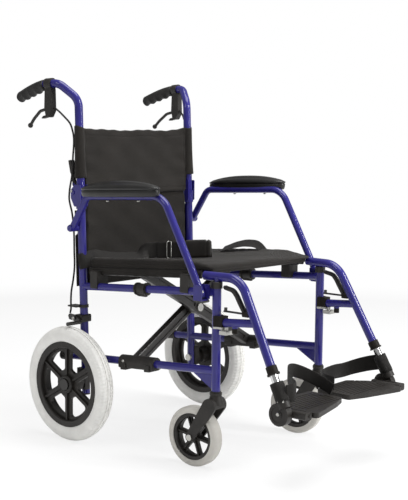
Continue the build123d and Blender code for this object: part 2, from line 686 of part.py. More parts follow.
def sling(width, z0, z1, sag, sleeves):
    """Back cloth between the tubes, with sewn sleeves round them where it has any."""
    height = z1 - z0
    face = Plane.XZ * (Pos(0, height / 2) * Rectangle(2 * width, height))
    cloth = extrude(face, amount=SLING_T / 2, both=True)
    if sag:
        radius = (width ** 2 + sag ** 2) / (2 * sag)
        cloth -= rod((0, -20, height - sag + radius), (0, 20, height - sag + radius), radius)
    if sleeves:
        for side in (-1, 1):
            cloth += rod((side * POST_X, 0, 0), (side * POST_X, 0, height), SLEEVE_R)
    for side in (-1, 1):
        cloth -= rod((side * POST_X, 0, -5), (side * POST_X, 0, height + 5), TUBE_R + CLEAR - 0.05)
    return Pos(0, rear_post_y(z0), z0) * Rot(-REAR_LEAN, 0, 0) * cloth


def upper_sling():
    """Upper back cloth with sleeves on the tubes and a narrower flap between the hinges."""
    flap = POST_X - TUBE_R - HINGE_PLATE_T - 2
    return sling(POST_X, SLING_BOTTOM, SLING_TOP, 12, True) + sling(
        flap, HINGE_Z + 2, SLING_BOTTOM + 1, 0, False)


def lower_sling():
    seat_top = seat_rail_z(0) + SEAT_RAIL_R + SEAT_T
    width = POST_X - TUBE_R - HINGE_PLATE_T - 2
    return sling(width, seat_top - 18, HINGE_Z - CLEAR, 0, False) + sling(
        POST_X - TUBE_R - CLEAR, seat_top - 18, HINGE_Z - 60, 0, False)


# Arm rests


def arm_points():
    return [(-ARM_X, ARM_PIVOT_Y, ARM_PIVOT_Z), (-ARM_X, *ARM_REAR_BEND), (-ARM_X, *ARM_FRONT_BEND),
            (-ARM_X, *ARM_FOOT)]


def arm_tube():
    """Arm rest tube: rear leg with its pivot eye, level top run and sloping front leg."""
    bends = [28, 55]
    tube = bent_tube(arm_points(), ARM_R, bends)
    tube += rod((-ARM_X - ARM_R, ARM_PIVOT_Y, ARM_PIVOT_Z), (-ARM_X + ARM_R, ARM_PIVOT_Y, ARM_PIVOT_Z), ARM_R)
    tube += Pos(-ARM_X, *ARM_FOOT) * Sphere(ARM_R)
    start, end = Vector(*arm_points()[0]), Vector(*arm_points()[1])
    clear_eye = tuple(start + (end - start).normalized() * 20)
    core = bent_tube([clear_eye] + arm_points()[1:], ARM_R - TUBE_WALL, bends)
    eye = rod((-ARM_X - 20, ARM_PIVOT_Y, ARM_PIVOT_Z), (-ARM_X + 20, ARM_PIVOT_Y, ARM_PIVOT_Z),
              ARM_PIN_R + RUNNING)
    return tube - core - eye


def arm_pad():
    """Crowned pad over the arm tube."""
    slope = atan2(ARM_FRONT_BEND[1] - ARM_REAR_BEND[1], ARM_REAR_BEND[0] - ARM_FRONT_BEND[0])
    middle_y = PAD_FRONT_Y + PAD_LENGTH / 2
    tube_z = ARM_REAR_BEND[1] + (ARM_REAR_BEND[0] - middle_y) * tan(slope)
    plan = RectangleRounded(PAD_WIDTH, PAD_LENGTH, PAD_WIDTH / 2 - 1)
    pad = extrude(plan, amount=PAD_T)
    pad = fillet(pad.edges().group_by(Axis.Z)[-1], PAD_T * 0.42)
    pad = fillet(pad.edges().group_by(Axis.Z)[0], 3)
    seat_z = PAD_SEAT - ARM_R
    groove = rod((PAD_X - ARM_X, -PAD_LENGTH, seat_z), (PAD_X - ARM_X, PAD_LENGTH, seat_z), ARM_R + RUNNING)
    placed = Rot(-degrees(slope), 0, 0) * (pad - groove)
    return Pos(-PAD_X, middle_y, tube_z + (ARM_R - PAD_SEAT) / cos(slope)) * placed


# Cross brace, modelled square to the lower rails and tilted into place


def brace_place():
    """Frame on the line between the lower rails at BRACE_Y, with Y along the rails."""
    return Pos(0, BRACE_Y, lower_rail_z(BRACE_Y)) * Rot(-RAIL_TILT, 0, 0)


SEAT_RAIL_LIFT = (RAIL_SPACING + SEAT_RAIL_RISE) * cos(radians(RAIL_TILT))
BRACE_ANGLE = atan2(SEAT_RAIL_LIFT, POST_X + SEAT_RAIL_X)
BRACE_LENGTH = hypot(SEAT_RAIL_LIFT, POST_X + SEAT_RAIL_X)
PIVOT_LIFT = POST_X * tan(BRACE_ANGLE)
BRACE_BOLT_R = 6.0


def brace_bar(y0, y1):
    """Bar from the lower right rail up to the left seat rail, grooved on both faces."""
    length = BRACE_LENGTH
    bar = block(0, length, y0, y1, -BRACE_WIDTH / 2, BRACE_WIDTH / 2)
    bar = fillet(bar.edges().filter_by(Axis.X), 4)
    for y, depth in ((y0, 3), (y1, -3)):
        bar -= block(CLAMP_R + 14, length - 30, y - 1 if depth > 0 else y + depth,
                     y + depth if depth > 0 else y + 1, -5, 5)
    boss = rod((POST_X / cos(BRACE_ANGLE), y0, 0), (POST_X / cos(BRACE_ANGLE), y1, 0), BRACE_WIDTH / 2 + 3)
    return Pos(-POST_X, 0, 0) * Rot(0, -degrees(BRACE_ANGLE), 0) * (bar + boss)


def brace_with_seat_rail(y0, y1):
    """Brace bar welded to the seat rail tube that it carries."""
    shift = SEAT_RAIL_LIFT * tan(radians(RAIL_TILT))
    rear = (SEAT_RAIL_REAR - BRACE_Y) / cos(radians(RAIL_TILT)) - shift
    front = (SEAT_RAIL_FRONT - BRACE_Y) / cos(radians(RAIL_TILT)) - shift
    x, z = SEAT_RAIL_X, SEAT_RAIL_LIFT
    bar = brace_bar(y0, y1) - rod((-POST_X, -80, 0), (-POST_X, 80, 0), CLAMP_R + RUNNING)
    bar -= block(-POST_X - 60, -POST_X + CLAMP_R + 2 + RUNNING, -80, 80, -60, 3 + RUNNING)
    bar -= block(x, x + 60, -80, 80, z - 60, z + 60) + block(x - 60, x + 60, -80, 80, z, z + 60)
    shape = bar + rod((x, rear, z), (x, front, z), SEAT_RAIL_R)
    shape -= rod((x, rear + 1, z), (x, front - 1, z), SEAT_RAIL_R - TUBE_WALL)
    for end, inward in ((rear, -1), (front, 1)):
        shape += rod((x, end, z), (x, end + 6 * inward, z), SEAT_RAIL_R - 0.5)
    return shape - rod((0, -80, PIVOT_LIFT), (0, 80, PIVOT_LIFT), BRACE_BOLT_R + RUNNING)


def cross_brace_a():
    return brace_place() * brace_with_seat_rail(BRACE_OFFSET, BRACE_OFFSET + BRACE_T)


def cross_brace_b():
    shape = brace_with_seat_rail(-BRACE_OFFSET - BRACE_T, -BRACE_OFFSET)
    return brace_place() * mirror(shape, about=Plane.YZ)


def brace_pivot_bolt():
    reach = BRACE_OFFSET + BRACE_T
    bolt = rod((0, -reach - 1, PIVOT_LIFT), (0, reach + 1, PIVOT_LIFT), BRACE_BOLT_R)
    for side in (-1, 1):
        bolt += rod((0, side * reach, PIVOT_LIFT), (0, side * (reach + 5), PIVOT_LIFT), BRACE_BOLT_R + 5)
    return brace_place() * (bolt + rod((0, -BRACE_OFFSET, PIVOT_LIFT), (0, BRACE_OFFSET, PIVOT_LIFT), 11))


def rail_clamp(side):
    """Two-part bearing block that lets the brace turn on the lower rail."""
    half = CLAMP_LENGTH / 2
    body = rod((-POST_X, -half, 0), (-POST_X, half, 0), CLAMP_R)
    toes = block(-POST_X - CLAMP_R, -POST_X + CLAMP_R, -half, half, -CLAMP_R + 2, 3)
    toes = fillet(toes.edges().filter_by(Axis.Y), 4)
    body += toes
    for y in (-half + 18, half - 18):
        body += block(-POST_X - CLAMP_R - 2, -POST_X + CLAMP_R + 2, y - 9, y + 9, -CLAMP_R - 2, -2)
    body -= rod((-POST_X, -half - 5, 0), (-POST_X, half + 5, 0), RAIL_R + CLEAR)
    if side == "left":
        body = mirror(body, about=Plane.YZ)
    return brace_place() * body


# Seat


def seat():
    """Padded seat panel lying on the seat rails."""
    length = (SEAT_REAR - SEAT_FRONT) / cos(radians(RAIL_TILT))
    middle = (SEAT_REAR + SEAT_FRONT) / 2
    pad = Box(2 * SEAT_HALF, length, SEAT_T, align=(Align.CENTER, Align.CENTER, Align.MIN))
    pad = fillet(pad.edges().filter_by(Axis.Z), 14)
    pad = fillet(pad.edges().group_by(Axis.Z)[-1], 9)
    bottom = seat_rail_z(middle) + (SEAT_RAIL_R + CLEAR) / cos(radians(RAIL_TILT))
    return Pos(0, middle, bottom) * Rot(-RAIL_TILT, 0, 0) * pad


def seat_top(y):
    return seat_rail_z(y) + (SEAT_RAIL_R + CLEAR + SEAT_T) / cos(radians(RAIL_TILT))


BELT_WIDTH = 42.0
BELT_T = 3.0


def on_seat(x, y, turn):
    """Frame lying on the seat's top face."""
    return Pos(x, y, seat_top(y) + CLEAR / cos(radians(RAIL_TILT))) * Rot(-RAIL_TILT, 0, 0) * Rot(0, 0, turn)


def lap_belt():
    """Lap belt left lying on the seat: two webbing ends, a standing run and its buckle."""
    start, end = (-78, -95), (-14, -200)
    turn = degrees(atan2(end[1] - start[1], end[0] - start[0]))
    corner = (Align.MIN, Align.CENTER, Align.MIN)
    run = on_seat(*start, turn) * Box(hypot(end[0] - start[0], end[1] - start[1]), BELT_T, BELT_WIDTH, align=corner)
    case = Box(50, 14, BELT_WIDTH + 4, align=corner)
    case = on_seat(*end, turn) * fillet(case.edges(), 3)
    tail = on_seat(-135, -62, -32) * Box(130, BELT_WIDTH, BELT_T, align=(Align.CENTER, Align.CENTER, Align.MIN))
    arch = bent_tube([(-50, 0, BELT_T), (-8, 0, 32), (50, 0, BELT_T)], BELT_T, 24)
    arch &= Box(200, 20, 60, align=(Align.CENTER, Align.CENTER, Align.MIN))
    return Compound(children=[run, case, tail, on_seat(120, -100, 0) * arch])


# Leg rests


def hanger_points():
    return [(-POST_X + 2, HANGER_REAR_Y, HANGER_Z), (*HANGER_BEND, HANGER_Z), HANGER_END]


def leg_direction():
    """Unit vector down the sloping leg of the hanger."""
    return (Vector(*HANGER_END) - Vector(*HANGER_BEND, HANGER_Z)).normalized()


def leg_point(distance):
    """Point on the sloping leg, measured down from the hanger's lower end."""
    return tuple(Vector(*HANGER_END) + leg_direction() * distance)


def leg_at(z):
    """Point on the sloping leg at a height."""
    direction = leg_direction()
    return leg_point((z - HANGER_END[2]) / direction.Z)


def leg_hanger():
    """Swing-away hanger: bent tube, pivot pin, lower stub with its saddle, and end collar."""
    outer = bent_tube(hanger_points(), TUBE_R, HANGER_BEND_R)
    x, y = -POST_X, FRONT_POST_Y
    outer += rod((x, y, HANGER_Z), (x, y, HANGER_PIN_BOTTOM), HANGER_PIN_R)
    leg = leg_at(STUB_Z + 8)
    outer += rod((x, y - TUBE_R - 8, STUB_Z), leg, RAIL_R)
    outer += rod(leg_point(-20), leg_point(-2), TUBE_R + 2.5) + rod(leg_point(-3), leg_point(1), TUBE_R + 4.5)
    outer += saddle_ring()
    outer += block(x - 14, x + 12, y - 42, y - 20, STUB_Z - 27, STUB_Z - 18)
    outer += rod((x, y - 30, STUB_Z - 20), (x, y - 30, STUB_Z), 5)
    bumper_y = y - 56
    outer += rod((x + 1, bumper_y, STUB_Z - 22), (x + 1, bumper_y, STUB_Z), 7)
    hollow = bent_tube(hanger_points(), TUBE_R - TUBE_WALL, HANGER_BEND_R)
    hollow -= block(-300, -100, HANGER_REAR_Y - 3, HANGER_REAR_Y + 9, HANGER_Z - 30, HANGER_Z + 30)
    hollow += rod(leg_point(-1), leg_point(3), TUBE_R - TUBE_WALL)
    lugs = lever_lugs()
    return outer - hollow + lugs


def saddle_ring():
    """Half ring of the stub that bears on the front of the post."""
    x, y = -POST_X, FRONT_POST_Y
    ring = rod((x, y, STUB_Z - 15), (x, y, STUB_Z + 16), TUBE_R + 6)
    ring += block(x - 12, x + 12, y - 26, y - 10, STUB_Z - 15, STUB_Z + 16)
    ring -= block(x - 40, x + 40, y - 3, y + 40, STUB_Z - 40, STUB_Z + 40)
    return ring - rod((x, y, STUB_Z - 40), (x, y, STUB_Z + 40), TUBE_R + CLEAR)


SQUEEZE_PIVOT_Z = 393.0
SQUEEZE_PIN_R = 2.5


def latch_pivot():
    """Place of the release lever's pin, behind the sloping leg."""
    leg = leg_at(SQUEEZE_PIVOT_Z)
    return leg[0], leg[1] + 23, SQUEEZE_PIVOT_Z


def lever_lugs():
    """Two ears behind the leg that hold the release lever's pin."""
    x, y, z = latch_pivot()
    leg = leg_at(z)
    ears = block(x - 9, x - 6, leg[1] + 8, y + 4, z - 6, z + 6) + block(
        x + 6, x + 9, leg[1] + 8, y + 4, z - 6, z + 6)
    ears = fillet(ears.edges().filter_by(Axis.X).group_by(Axis.Y)[-1], 3)
    ears -= rod(leg_at(z - 30), leg_at(z + 30), TUBE_R - 0.5)
    return ears + rod((x - 8, y, z), (x + 8, y, z), SQUEEZE_PIN_R)


def latch_lever():
    """Bent strip inside the hanger's bend: squeezing it draws the latch rod from the post."""
    x, y, z = latch_pivot()
    width = 5.5
    outline = [(y, z), (-507.0, 443.0), (-476.0, 452.0)]
    path = FilletPolyline(*[(x, a, b) for a, b in outline], radius=22)
    strip = sweep(Plane(origin=path @ 0, x_dir=(1, 0, 0), z_dir=path % 0) * Rectangle(2 * width, 6), path)
    lever = strip + rod((x - width, y, z), (x + width, y, z), SQUEEZE_PIN_R + 3.5)
    lever += rod((x, y + 2, z), (x, FRONT_POST_Y - TUBE_R - 7, z), 2.5)
    lever += rod((x, FRONT_POST_Y - TUBE_R - 12, z - 2), (x, FRONT_POST_Y - TUBE_R - 12, z + 9), 4)
    return lever - rod((x - 20, y, z), (x + 20, y, z), SQUEEZE_PIN_R + RUNNING)


def extension_tube():
    """Bright tube that slides in the hanger to set the footrest's height."""
    radius = TUBE_R - TUBE_WALL - RUNNING
    return rod(leg_point(-EXTENSION_GRIP), leg_point(EXTENSION_LOW), radius)


def footrest_hub():
    """Clamp casting under the extension tube: round angle joint and hinge ears."""
    disc = rod((-HUB_X, HUB_Y, HUB_Z), (-HUB_X + HUB_T, HUB_Y, HUB_Z), HUB_R)
    disc -= block(-HUB_X - 5, -HUB_X + HUB_T + 5, HUB_Y - 40, HUB_Y + 40, HUB_Z + HUB_R - 4, HUB_Z + 60)
    groove = rod((-HUB_X - 1, HUB_Y, HUB_Z), (-HUB_X + 1.2, HUB_Y, HUB_Z), HUB_R - 7)
    disc -= groove - rod((-HUB_X - 1, HUB_Y, HUB_Z), (-HUB_X + 2, HUB_Y, HUB_Z), 9)
    neck = rod(leg_point(40), leg_point(EXTENSION_LOW + 16), TUBE_R + 4)
    ears_x = (-HUB_X + HUB_T - 1, -PLATE_PIN_X + 9)
    knuckle = block(*ears_x, BARREL_FRONT - 12, BARREL_REAR + 12, PLATE_PIN_Z - 9, PLATE_PIN_Z + 9)
    knuckle = fillet(knuckle.edges().filter_by(Axis.Y), 5)
    room = rod((-PLATE_PIN_X, BARREL_FRONT - CLEAR, PLATE_PIN_Z), (-PLATE_PIN_X, BARREL_REAR + CLEAR, PLATE_PIN_Z),
               BARREL_R + 1.0)
    room += block(-PLATE_PIN_X, -PLATE_PIN_X + 30, BARREL_FRONT - CLEAR, BARREL_REAR + CLEAR,
                  PLATE_PIN_Z - 20, PLATE_PIN_Z + 20)
    room += block(-PLATE_PIN_X - PLATE_ARM_HALF - 1, -PLATE_PIN_X, BARREL_FRONT - CLEAR, BARREL_REAR + CLEAR,
                  PLATE_PIN_Z + 4, PLATE_PIN_Z + 20)
    casting = disc + neck + (knuckle - room)
    casting += rod((-PLATE_PIN_X, BARREL_FRONT - 14, PLATE_PIN_Z), (-PLATE_PIN_X, BARREL_REAR + 14, PLATE_PIN_Z),
                   PLATE_PIN_R)
    return casting - rod(leg_point(38), leg_point(EXTENSION_LOW + RUNNING), TUBE_R - TUBE_WALL)


BARREL_R = 8.5
BARREL_FRONT = -711.5
BARREL_REAR = -652.5


def footplate():
    """Ribbed tread plate with rounded corners and a hinge barrel at its outer side."""
    inner = -PLATE_GAP / 2
    outer = -PLATE_PIN_X + 12
    outline = [(inner, -592), (inner, -688), (-62, -706), (-150, PLATE_FRONT_Y + 8),
               (outer, PLATE_FRONT_Y), (outer, -636), (-150, -590)]
    low = PLATE_PIN_Z - PLATE_T / 2
    face = make_face(Polyline(*[(x, y, low) for x, y in outline], close=True))
    plate = extrude(face, amount=PLATE_T, dir=(0, 0, 1))
    corners = plate.edges().filter_by(Axis.Z)
    plate = fillet(corners, 9)
    rib_count, pitch = 9, 10.5
    for index in range(rib_count):
        y = -610 - pitch * index
        plate -= block(outer + 14, inner - 14, y, y + 3.2, low + PLATE_T - 1.6, low + PLATE_T + 1)
    barrel = rod((-PLATE_PIN_X, BARREL_FRONT, PLATE_PIN_Z), (-PLATE_PIN_X, BARREL_REAR, PLATE_PIN_Z), BARREL_R)
    arm = block(-PLATE_PIN_X, outer + 5, BARREL_FRONT, BARREL_REAR, PLATE_PIN_Z - PLATE_ARM_HALF,
                PLATE_PIN_Z + PLATE_ARM_HALF)
    plate = plate + barrel + arm
    return plate - rod((-PLATE_PIN_X, -800, PLATE_PIN_Z), (-PLATE_PIN_X, -500, PLATE_PIN_Z), PLATE_PIN_R + RUNNING)


STRAP_T = 3.0
STRAP_LOW = 203.1
STRAP_HEIGHT = 40.0
STRAP_SLOPE = 6.0
STRAP_X = -203.0


def heel_strap():
    """Band of webbing behind the heel, from the extension tube to the plate's inner end."""
    path = FilletPolyline((0, -646, 0), (10, -588, 0), (95, -562, 0), (170, -580, 0), (178, -626, 0),
                          radius=[26, 60, 18])
    section = Plane(origin=path @ 0, x_dir=(0, 0, 1), z_dir=path % 0) * Rectangle(STRAP_HEIGHT, STRAP_T)
    band = Rot(0, STRAP_SLOPE, 0) * Pos(0, 0, STRAP_HEIGHT / 2) * sweep(section, path)
    return Pos(STRAP_X, 0, STRAP_LOW) * band


def left(shape):
    """The left-hand piece is the right-hand one seen in the chair's middle plane."""
    return mirror(shape, about=Plane.YZ)


def write(name, shape):
    """Moves a piece to the chair's own origin and writes it."""
    placed = Pos(0, -ORIGIN_Y, 0) * shape
    export_step(placed, f"parts/{name}.step")


PAIRS = {
    "side_frame": side_frame, "frame_fittings": frame_fittings,
    "rear_rim": rear_rim, "rear_tyre": rear_tyre, "rear_axle": rear_axle,
    "back_cane": back_cane, "back_release_lever": back_release_lever, "push_grip": push_grip,
    "brake_bracket": brake_bracket, "brake_lever": brake_lever, "park_latch": park_latch,
    "brake_cable": brake_cable, "brake_arm": brake_arm,
    "arm_tube": arm_tube, "arm_pad": arm_pad,
    "leg_hanger": leg_hanger, "latch_lever": latch_lever, "extension_tube": extension_tube,
    "footrest_hub": footrest_hub, "footplate": footplate, "heel_strap": heel_strap,
}
CASTOR_PIECES = {"castor_fork": castor_fork, "castor_rim": castor_rim,
                 "castor_tyre": castor_tyre, "castor_axle": castor_axle}
SINGLE_PIECES = {
    "cross_brace_a": cross_brace_a, "cross_brace_b": cross_brace_b,
    "brace_pivot_bolt": brace_pivot_bolt, "seat": seat, "upper_back_sling": upper_sling,
    "lower_back_sling": lower_sling, "lap_belt": lap_belt,
}


def main():
    os.makedirs("parts", exist_ok=True)
    for name, build in PAIRS.items():
        piece = build()
        write(f"{name}_right", piece)
        write(f"{name}_left", left(piece))
    for name, build in CASTOR_PIECES.items():
        write(f"{name}_right", build("right"))
        write(f"{name}_left", left(build("left")))
    for side in ("right", "left"):
        write(f"rail_clamp_{side}", rail_clamp(side))
    for name, build in SINGLE_PIECES.items():
        write(name, build())


if __name__ == "__main__":
    main()
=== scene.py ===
"""Looks of a folding transport wheelchair, built round its fixed frame."""

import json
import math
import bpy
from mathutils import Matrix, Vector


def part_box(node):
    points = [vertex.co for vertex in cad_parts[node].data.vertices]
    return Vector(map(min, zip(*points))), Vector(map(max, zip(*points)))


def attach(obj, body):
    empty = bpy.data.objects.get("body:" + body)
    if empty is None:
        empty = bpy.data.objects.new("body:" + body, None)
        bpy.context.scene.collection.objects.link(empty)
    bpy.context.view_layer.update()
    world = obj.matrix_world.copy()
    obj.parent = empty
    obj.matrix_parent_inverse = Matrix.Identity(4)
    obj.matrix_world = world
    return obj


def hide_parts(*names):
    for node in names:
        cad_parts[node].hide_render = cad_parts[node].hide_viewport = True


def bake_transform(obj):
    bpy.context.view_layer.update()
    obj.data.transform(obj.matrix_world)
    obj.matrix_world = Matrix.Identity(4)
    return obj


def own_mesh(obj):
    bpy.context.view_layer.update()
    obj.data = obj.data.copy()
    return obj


bl_info = {
    "name": "Transport wheelchair",
    "version": (1, 0, 0),
    "blender": (4, 5, 0),
    "location": "3D View > Sidebar > Wheelchair",
    "description": "Upholstery, straps, cables, tyres and finishes of a folding transport wheelchair",
    "category": "Object",
}

import bmesh
import bpy
import numpy as np
from mathutils import Matrix, Vector

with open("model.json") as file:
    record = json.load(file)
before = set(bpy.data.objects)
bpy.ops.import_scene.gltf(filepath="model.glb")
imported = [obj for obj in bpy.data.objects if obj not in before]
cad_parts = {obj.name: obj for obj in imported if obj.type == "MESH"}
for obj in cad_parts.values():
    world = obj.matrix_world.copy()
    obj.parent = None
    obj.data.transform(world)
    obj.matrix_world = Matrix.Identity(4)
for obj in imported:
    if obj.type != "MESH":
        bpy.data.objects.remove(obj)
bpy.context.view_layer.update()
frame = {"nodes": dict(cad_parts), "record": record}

# Metres, square metres and radians. Y0 is the rear axle's place along the chair, and the seat rails' saddles
# are measured from it.
RIGHT, LEFT = -1, 1
SIDE_NAMES = {RIGHT: "right", LEFT: "left"}
Y0 = 0.255
AXLE_Z = REAR_RADIUS = 0.1525
TYRE_X = 0.2705
REAR_LEAN = math.radians(2.0)
POST_X = 0.214
RAIL_TILT = math.radians(3.8)
RAIL_X = 0.2
RAIL_DROP = 0.0114
SADDLES = (-0.043, -0.361)
SEAT_THICK = 0.025
SEAT_SAG = 0.014
LEG_BEND = np.array([0.201, Y0 - 0.519, 0.474])
LEG_END = np.array([0.218, Y0 - 0.634, 0.264])
WHITE = (1.0, 1.0, 1.0, 1.0)

# Each lamp's name, place, width, height and power in watts
LAMPS = (("top_box", (0.3, -0.5, 3.2), 2.2, 2.2, 88.0),
         ("key_box", (0.6, -2.9, 2.3), 0.8, 0.8, 38.0),
         ("left_box", (-3.0, 0.4, 2.4), 1.0, 1.0, 15.0),
         ("strip", (1.2, -2.35, 1.5), 0.10, 1.9, 34.0))


def post_y(z):
    """Y of the leaning rear post and back tube at a height."""
    return Y0 + (z - AXLE_Z) * math.tan(REAR_LEAN)


def lower_rail_z(y):
    """Height of the sloping lower rails' middle line at a place along the chair."""
    return 0.246 - (y - Y0 + 0.457) * math.tan(RAIL_TILT)


def seat_z(y):
    """Height of the seat rails' top line at a place along the chair."""
    return lower_rail_z(y) + 0.2316 + 0.0113 / math.cos(RAIL_TILT)


def bow(x):
    """Parabola across the chair: 1 at its middle, and 0 from the seat rails outwards."""
    return np.clip(1 - (x / RAIL_X) ** 2, 0, None)


def seat_dip(x, y):
    """Depth of the seat's sag, with none at its front edge."""
    return SEAT_SAG * bow(x) * smoothstep(Y0 - 0.427, Y0 - 0.330, y)


def seat_droop(x, y):
    """How far the seat's front edge hangs down, more on the occupant's left."""
    return smoothstep(Y0 - 0.335, Y0 - 0.432, y) * (0.0155 + 0.0020 * x / RAIL_X)


def seat_tilt(x):
    """How much lower the padding lies towards the occupant's left edge."""
    return 0.005 * smoothstep(-0.05, 0.19, x)


def seat_top(x, y):
    """Height of the seat's upper face."""
    return seat_z(y) + SEAT_THICK - seat_dip(x, y) - seat_droop(x, y) - seat_tilt(x)


def linear(red, green, blue):
    """Linear colour from 0 to 255 screen values."""
    c = np.array([red, green, blue]) / 255
    return tuple(np.where(c <= 0.04045, c / 12.92, ((c + 0.055) / 1.055) ** 2.4)) + (1.0,)


# Shapes


def smoothstep(a, b, x):
    """0 at a, 1 at b and smooth in between; a may be the greater."""
    t = np.clip((x - a) / (b - a), 0, 1)
    return t * t * (3 - 2 * t)


def ridge(distance, width):
    """Bell curve: 1 at no distance, and near 0 at two widths."""
    return np.exp(-(distance / width) ** 2)


def rounded(t, power, least=0):
    """Share that is full in the middle and least at t = -1 and 1: the root of 1 - |t| ** power."""
    return np.sqrt(np.clip(1 - np.abs(t) ** power, least, 1))


def signed_power(t, power):
    """Power that keeps its base's sign, which turns a circle's lines into a superellipse's."""
    return np.sign(t) * np.abs(t) ** power


def crowded(count, power):
    """Places from -1 to 1 that stand closer together towards both ends."""
    spread = np.linspace(-1, 1, count)
    return np.sign(spread) * (1 - (1 - np.abs(spread)) ** power)


def full_turn(count):
    """Angles evenly round a circle."""
    return np.linspace(0, 2 * np.pi, count, endpoint=False)


def unit(rows):
    """Rows scaled to a length of 1."""
    return rows / np.linalg.norm(rows, axis=-1, keepdims=True)


def heading(path):
    """Direction of travel at each point of a path."""
    return unit(np.gradient(path, axis=0))


def run_along(path):
    """Distance along a path to each of its points."""
    return np.r_[0, np.cumsum(np.linalg.norm(np.diff(path, axis=0), axis=1))]


def chair_points(rows, side=RIGHT):
    """Places on one side, from millimetres measured from the rear axle on the right-hand side."""
    points = np.array(rows, float) / 1000
    points[:, 0] *= -side
    points[:, 1] += Y0
    return points


def quad_corners(grid):
    """The four corners of each quad of a grid, in order round it."""
    return np.stack([grid[:-1, :-1], grid[1:, :-1], grid[1:, 1:], grid[:-1, 1:]], 2)


def surface(name, points, wrap_u=False, wrap_v=False, uv=None):
    """Mesh of quads over a grid: points[i, j] is the place at the i-th u and the j-th v."""
    nu, nv = points.shape[:2]
    index = np.arange(nu * nv).reshape(nu, nv)
    if wrap_u:
        index = np.vstack([index, index[:1]])
    if wrap_v:
        index = np.hstack([index, index[:, :1]])
    mesh = bpy.data.meshes.new(name)
    mesh.from_pydata(points.reshape(-1, 3), [], quad_corners(index).reshape(-1, 4))
    if uv is None:
        uv = np.stack(np.meshgrid(*(np.linspace(0, 1, n) for n in index.shape), indexing="ij"), -1)
    layer = mesh.uv_layers.new(name="pattern")
    layer.data.foreach_set("uv", quad_corners(uv).astype(np.float32).ravel())
    tidy(mesh)
    piece = bpy.data.objects.new(name, mesh)
    bpy.context.scene.collection.objects.link(piece)
    return piece


def tidy(mesh):
    """Closes seams and poles, and turns the faces outwards."""
    work = bmesh.new()
    work.from_mesh(mesh)
    bmesh.ops.remove_doubles(work, verts=work.verts, dist=2e-6)
    bmesh.ops.dissolve_degenerate(work, edges=work.edges, dist=1e-7)
    bmesh.ops.recalc_face_normals(work, faces=work.faces)
    work.to_mesh(mesh)
    work.free()
    mesh.polygons.foreach_set("use_smooth", np.ones(len(mesh.polygons), bool))
    mesh.update()


def revolved(name, profile, centre, axis, turns):
    """Solid of revolution: profile holds (radius, height) pairs, turned about axis through centre."""
    axis = np.array(Vector(axis).normalized())
    side = np.array(Vector(axis).orthogonal().normalized())
    third = np.cross(axis, side)
    angle = full_turn(turns)[:, None]
    ring = np.cos(angle) * side + np.sin(angle) * third
    profile = np.array(profile, float)
    points = np.array(centre) + profile[None, :, :1] * ring[:, None, :] + profile[None, :, 1:] * axis
    return surface(name, points, wrap_u=True)


def smooth_path(corners, count):
    """Points along a curve through the corners: cubic pieces whose slopes come from the neighbours."""
    p = np.array(corners, float)
    s = run_along(p)
    slope = np.gradient(p, s, axis=0)
    t = np.linspace(0, s[-1], count)
    k = np.clip(np.searchsorted(s, t, side="right") - 1, 0, len(p) - 2)
    h = (s[k + 1] - s[k])[:, None]
    f = ((t - s[k])[:, None]) / h
    return ((2 * f**3 - 3 * f**2 + 1) * p[k] + (f**3 - 2 * f**2 + f) * h * slope[k]
            + (-2 * f**3 + 3 * f**2) * p[k + 1] + (f**3 - f**2) * h * slope[k + 1])


def with_ends(path, ring):
    """Rings round a path's points, and at each end a ring drawn in to the point."""
    sides = ring.shape[1]
    return np.concatenate([np.repeat(path[:1, None], sides, 1), path[:, None] + ring,
                           np.repeat(path[-1:, None], sides, 1)])


def swept(name, path, across, thick, width, thickness, corner=6, soft=2.5):
    """Strap or bar along a path: a superellipse section, width along across and thickness along thick."""
    angle = full_turn(32)
    a = signed_power(np.cos(angle), 2 / corner) / 2
    b = signed_power(np.sin(angle), 2 / soft) / 2
    width = np.broadcast_to(width, len(path))[:, None]
    thickness = np.broadcast_to(thickness, len(path))[:, None]
    ring = (a * width)[..., None] * across[:, None] + (b * thickness)[..., None] * thick[:, None]
    length = run_along(path)
    u = np.repeat(np.r_[0, length, length[-1]][:, None], len(angle) + 1, axis=1)
    v = np.repeat(np.r_[a, a[0]][None, :], len(path) + 2, axis=0) * width.mean()
    return surface(name, with_ends(path, ring), wrap_v=True, uv=np.stack([u, v], -1))


def tube(name, path, radius, sides=12, closed=False):
    """Round tube along a path, with a ring square to it at each point."""
    tangent = unit(np.roll(path, -1, 0) - np.roll(path, 1, 0)) if closed else heading(path)
    side = unit(np.cross(tangent, (0.97, 0.22, 0.05)))
    third = np.cross(tangent, side)
    angle = full_turn(sides)[None, :, None]
    ring = radius * (np.cos(angle) * side[:, None] + np.sin(angle) * third[:, None])
    points = path[:, None] + ring if closed else with_ends(path, ring)
    return surface(name, points, wrap_u=closed, wrap_v=True)


def one_mesh(name, pieces):
    """Joins new pieces into one object."""
    bpy.ops.object.select_all(action="DESELECT")
    for piece in pieces:
        piece.select_set(True)
    bpy.context.view_layer.objects.active = pieces[0]
    if len(pieces) > 1:
        bpy.ops.object.join()
    pieces[0].name = pieces[0].data.name = name
    return pieces[0]


# Materials


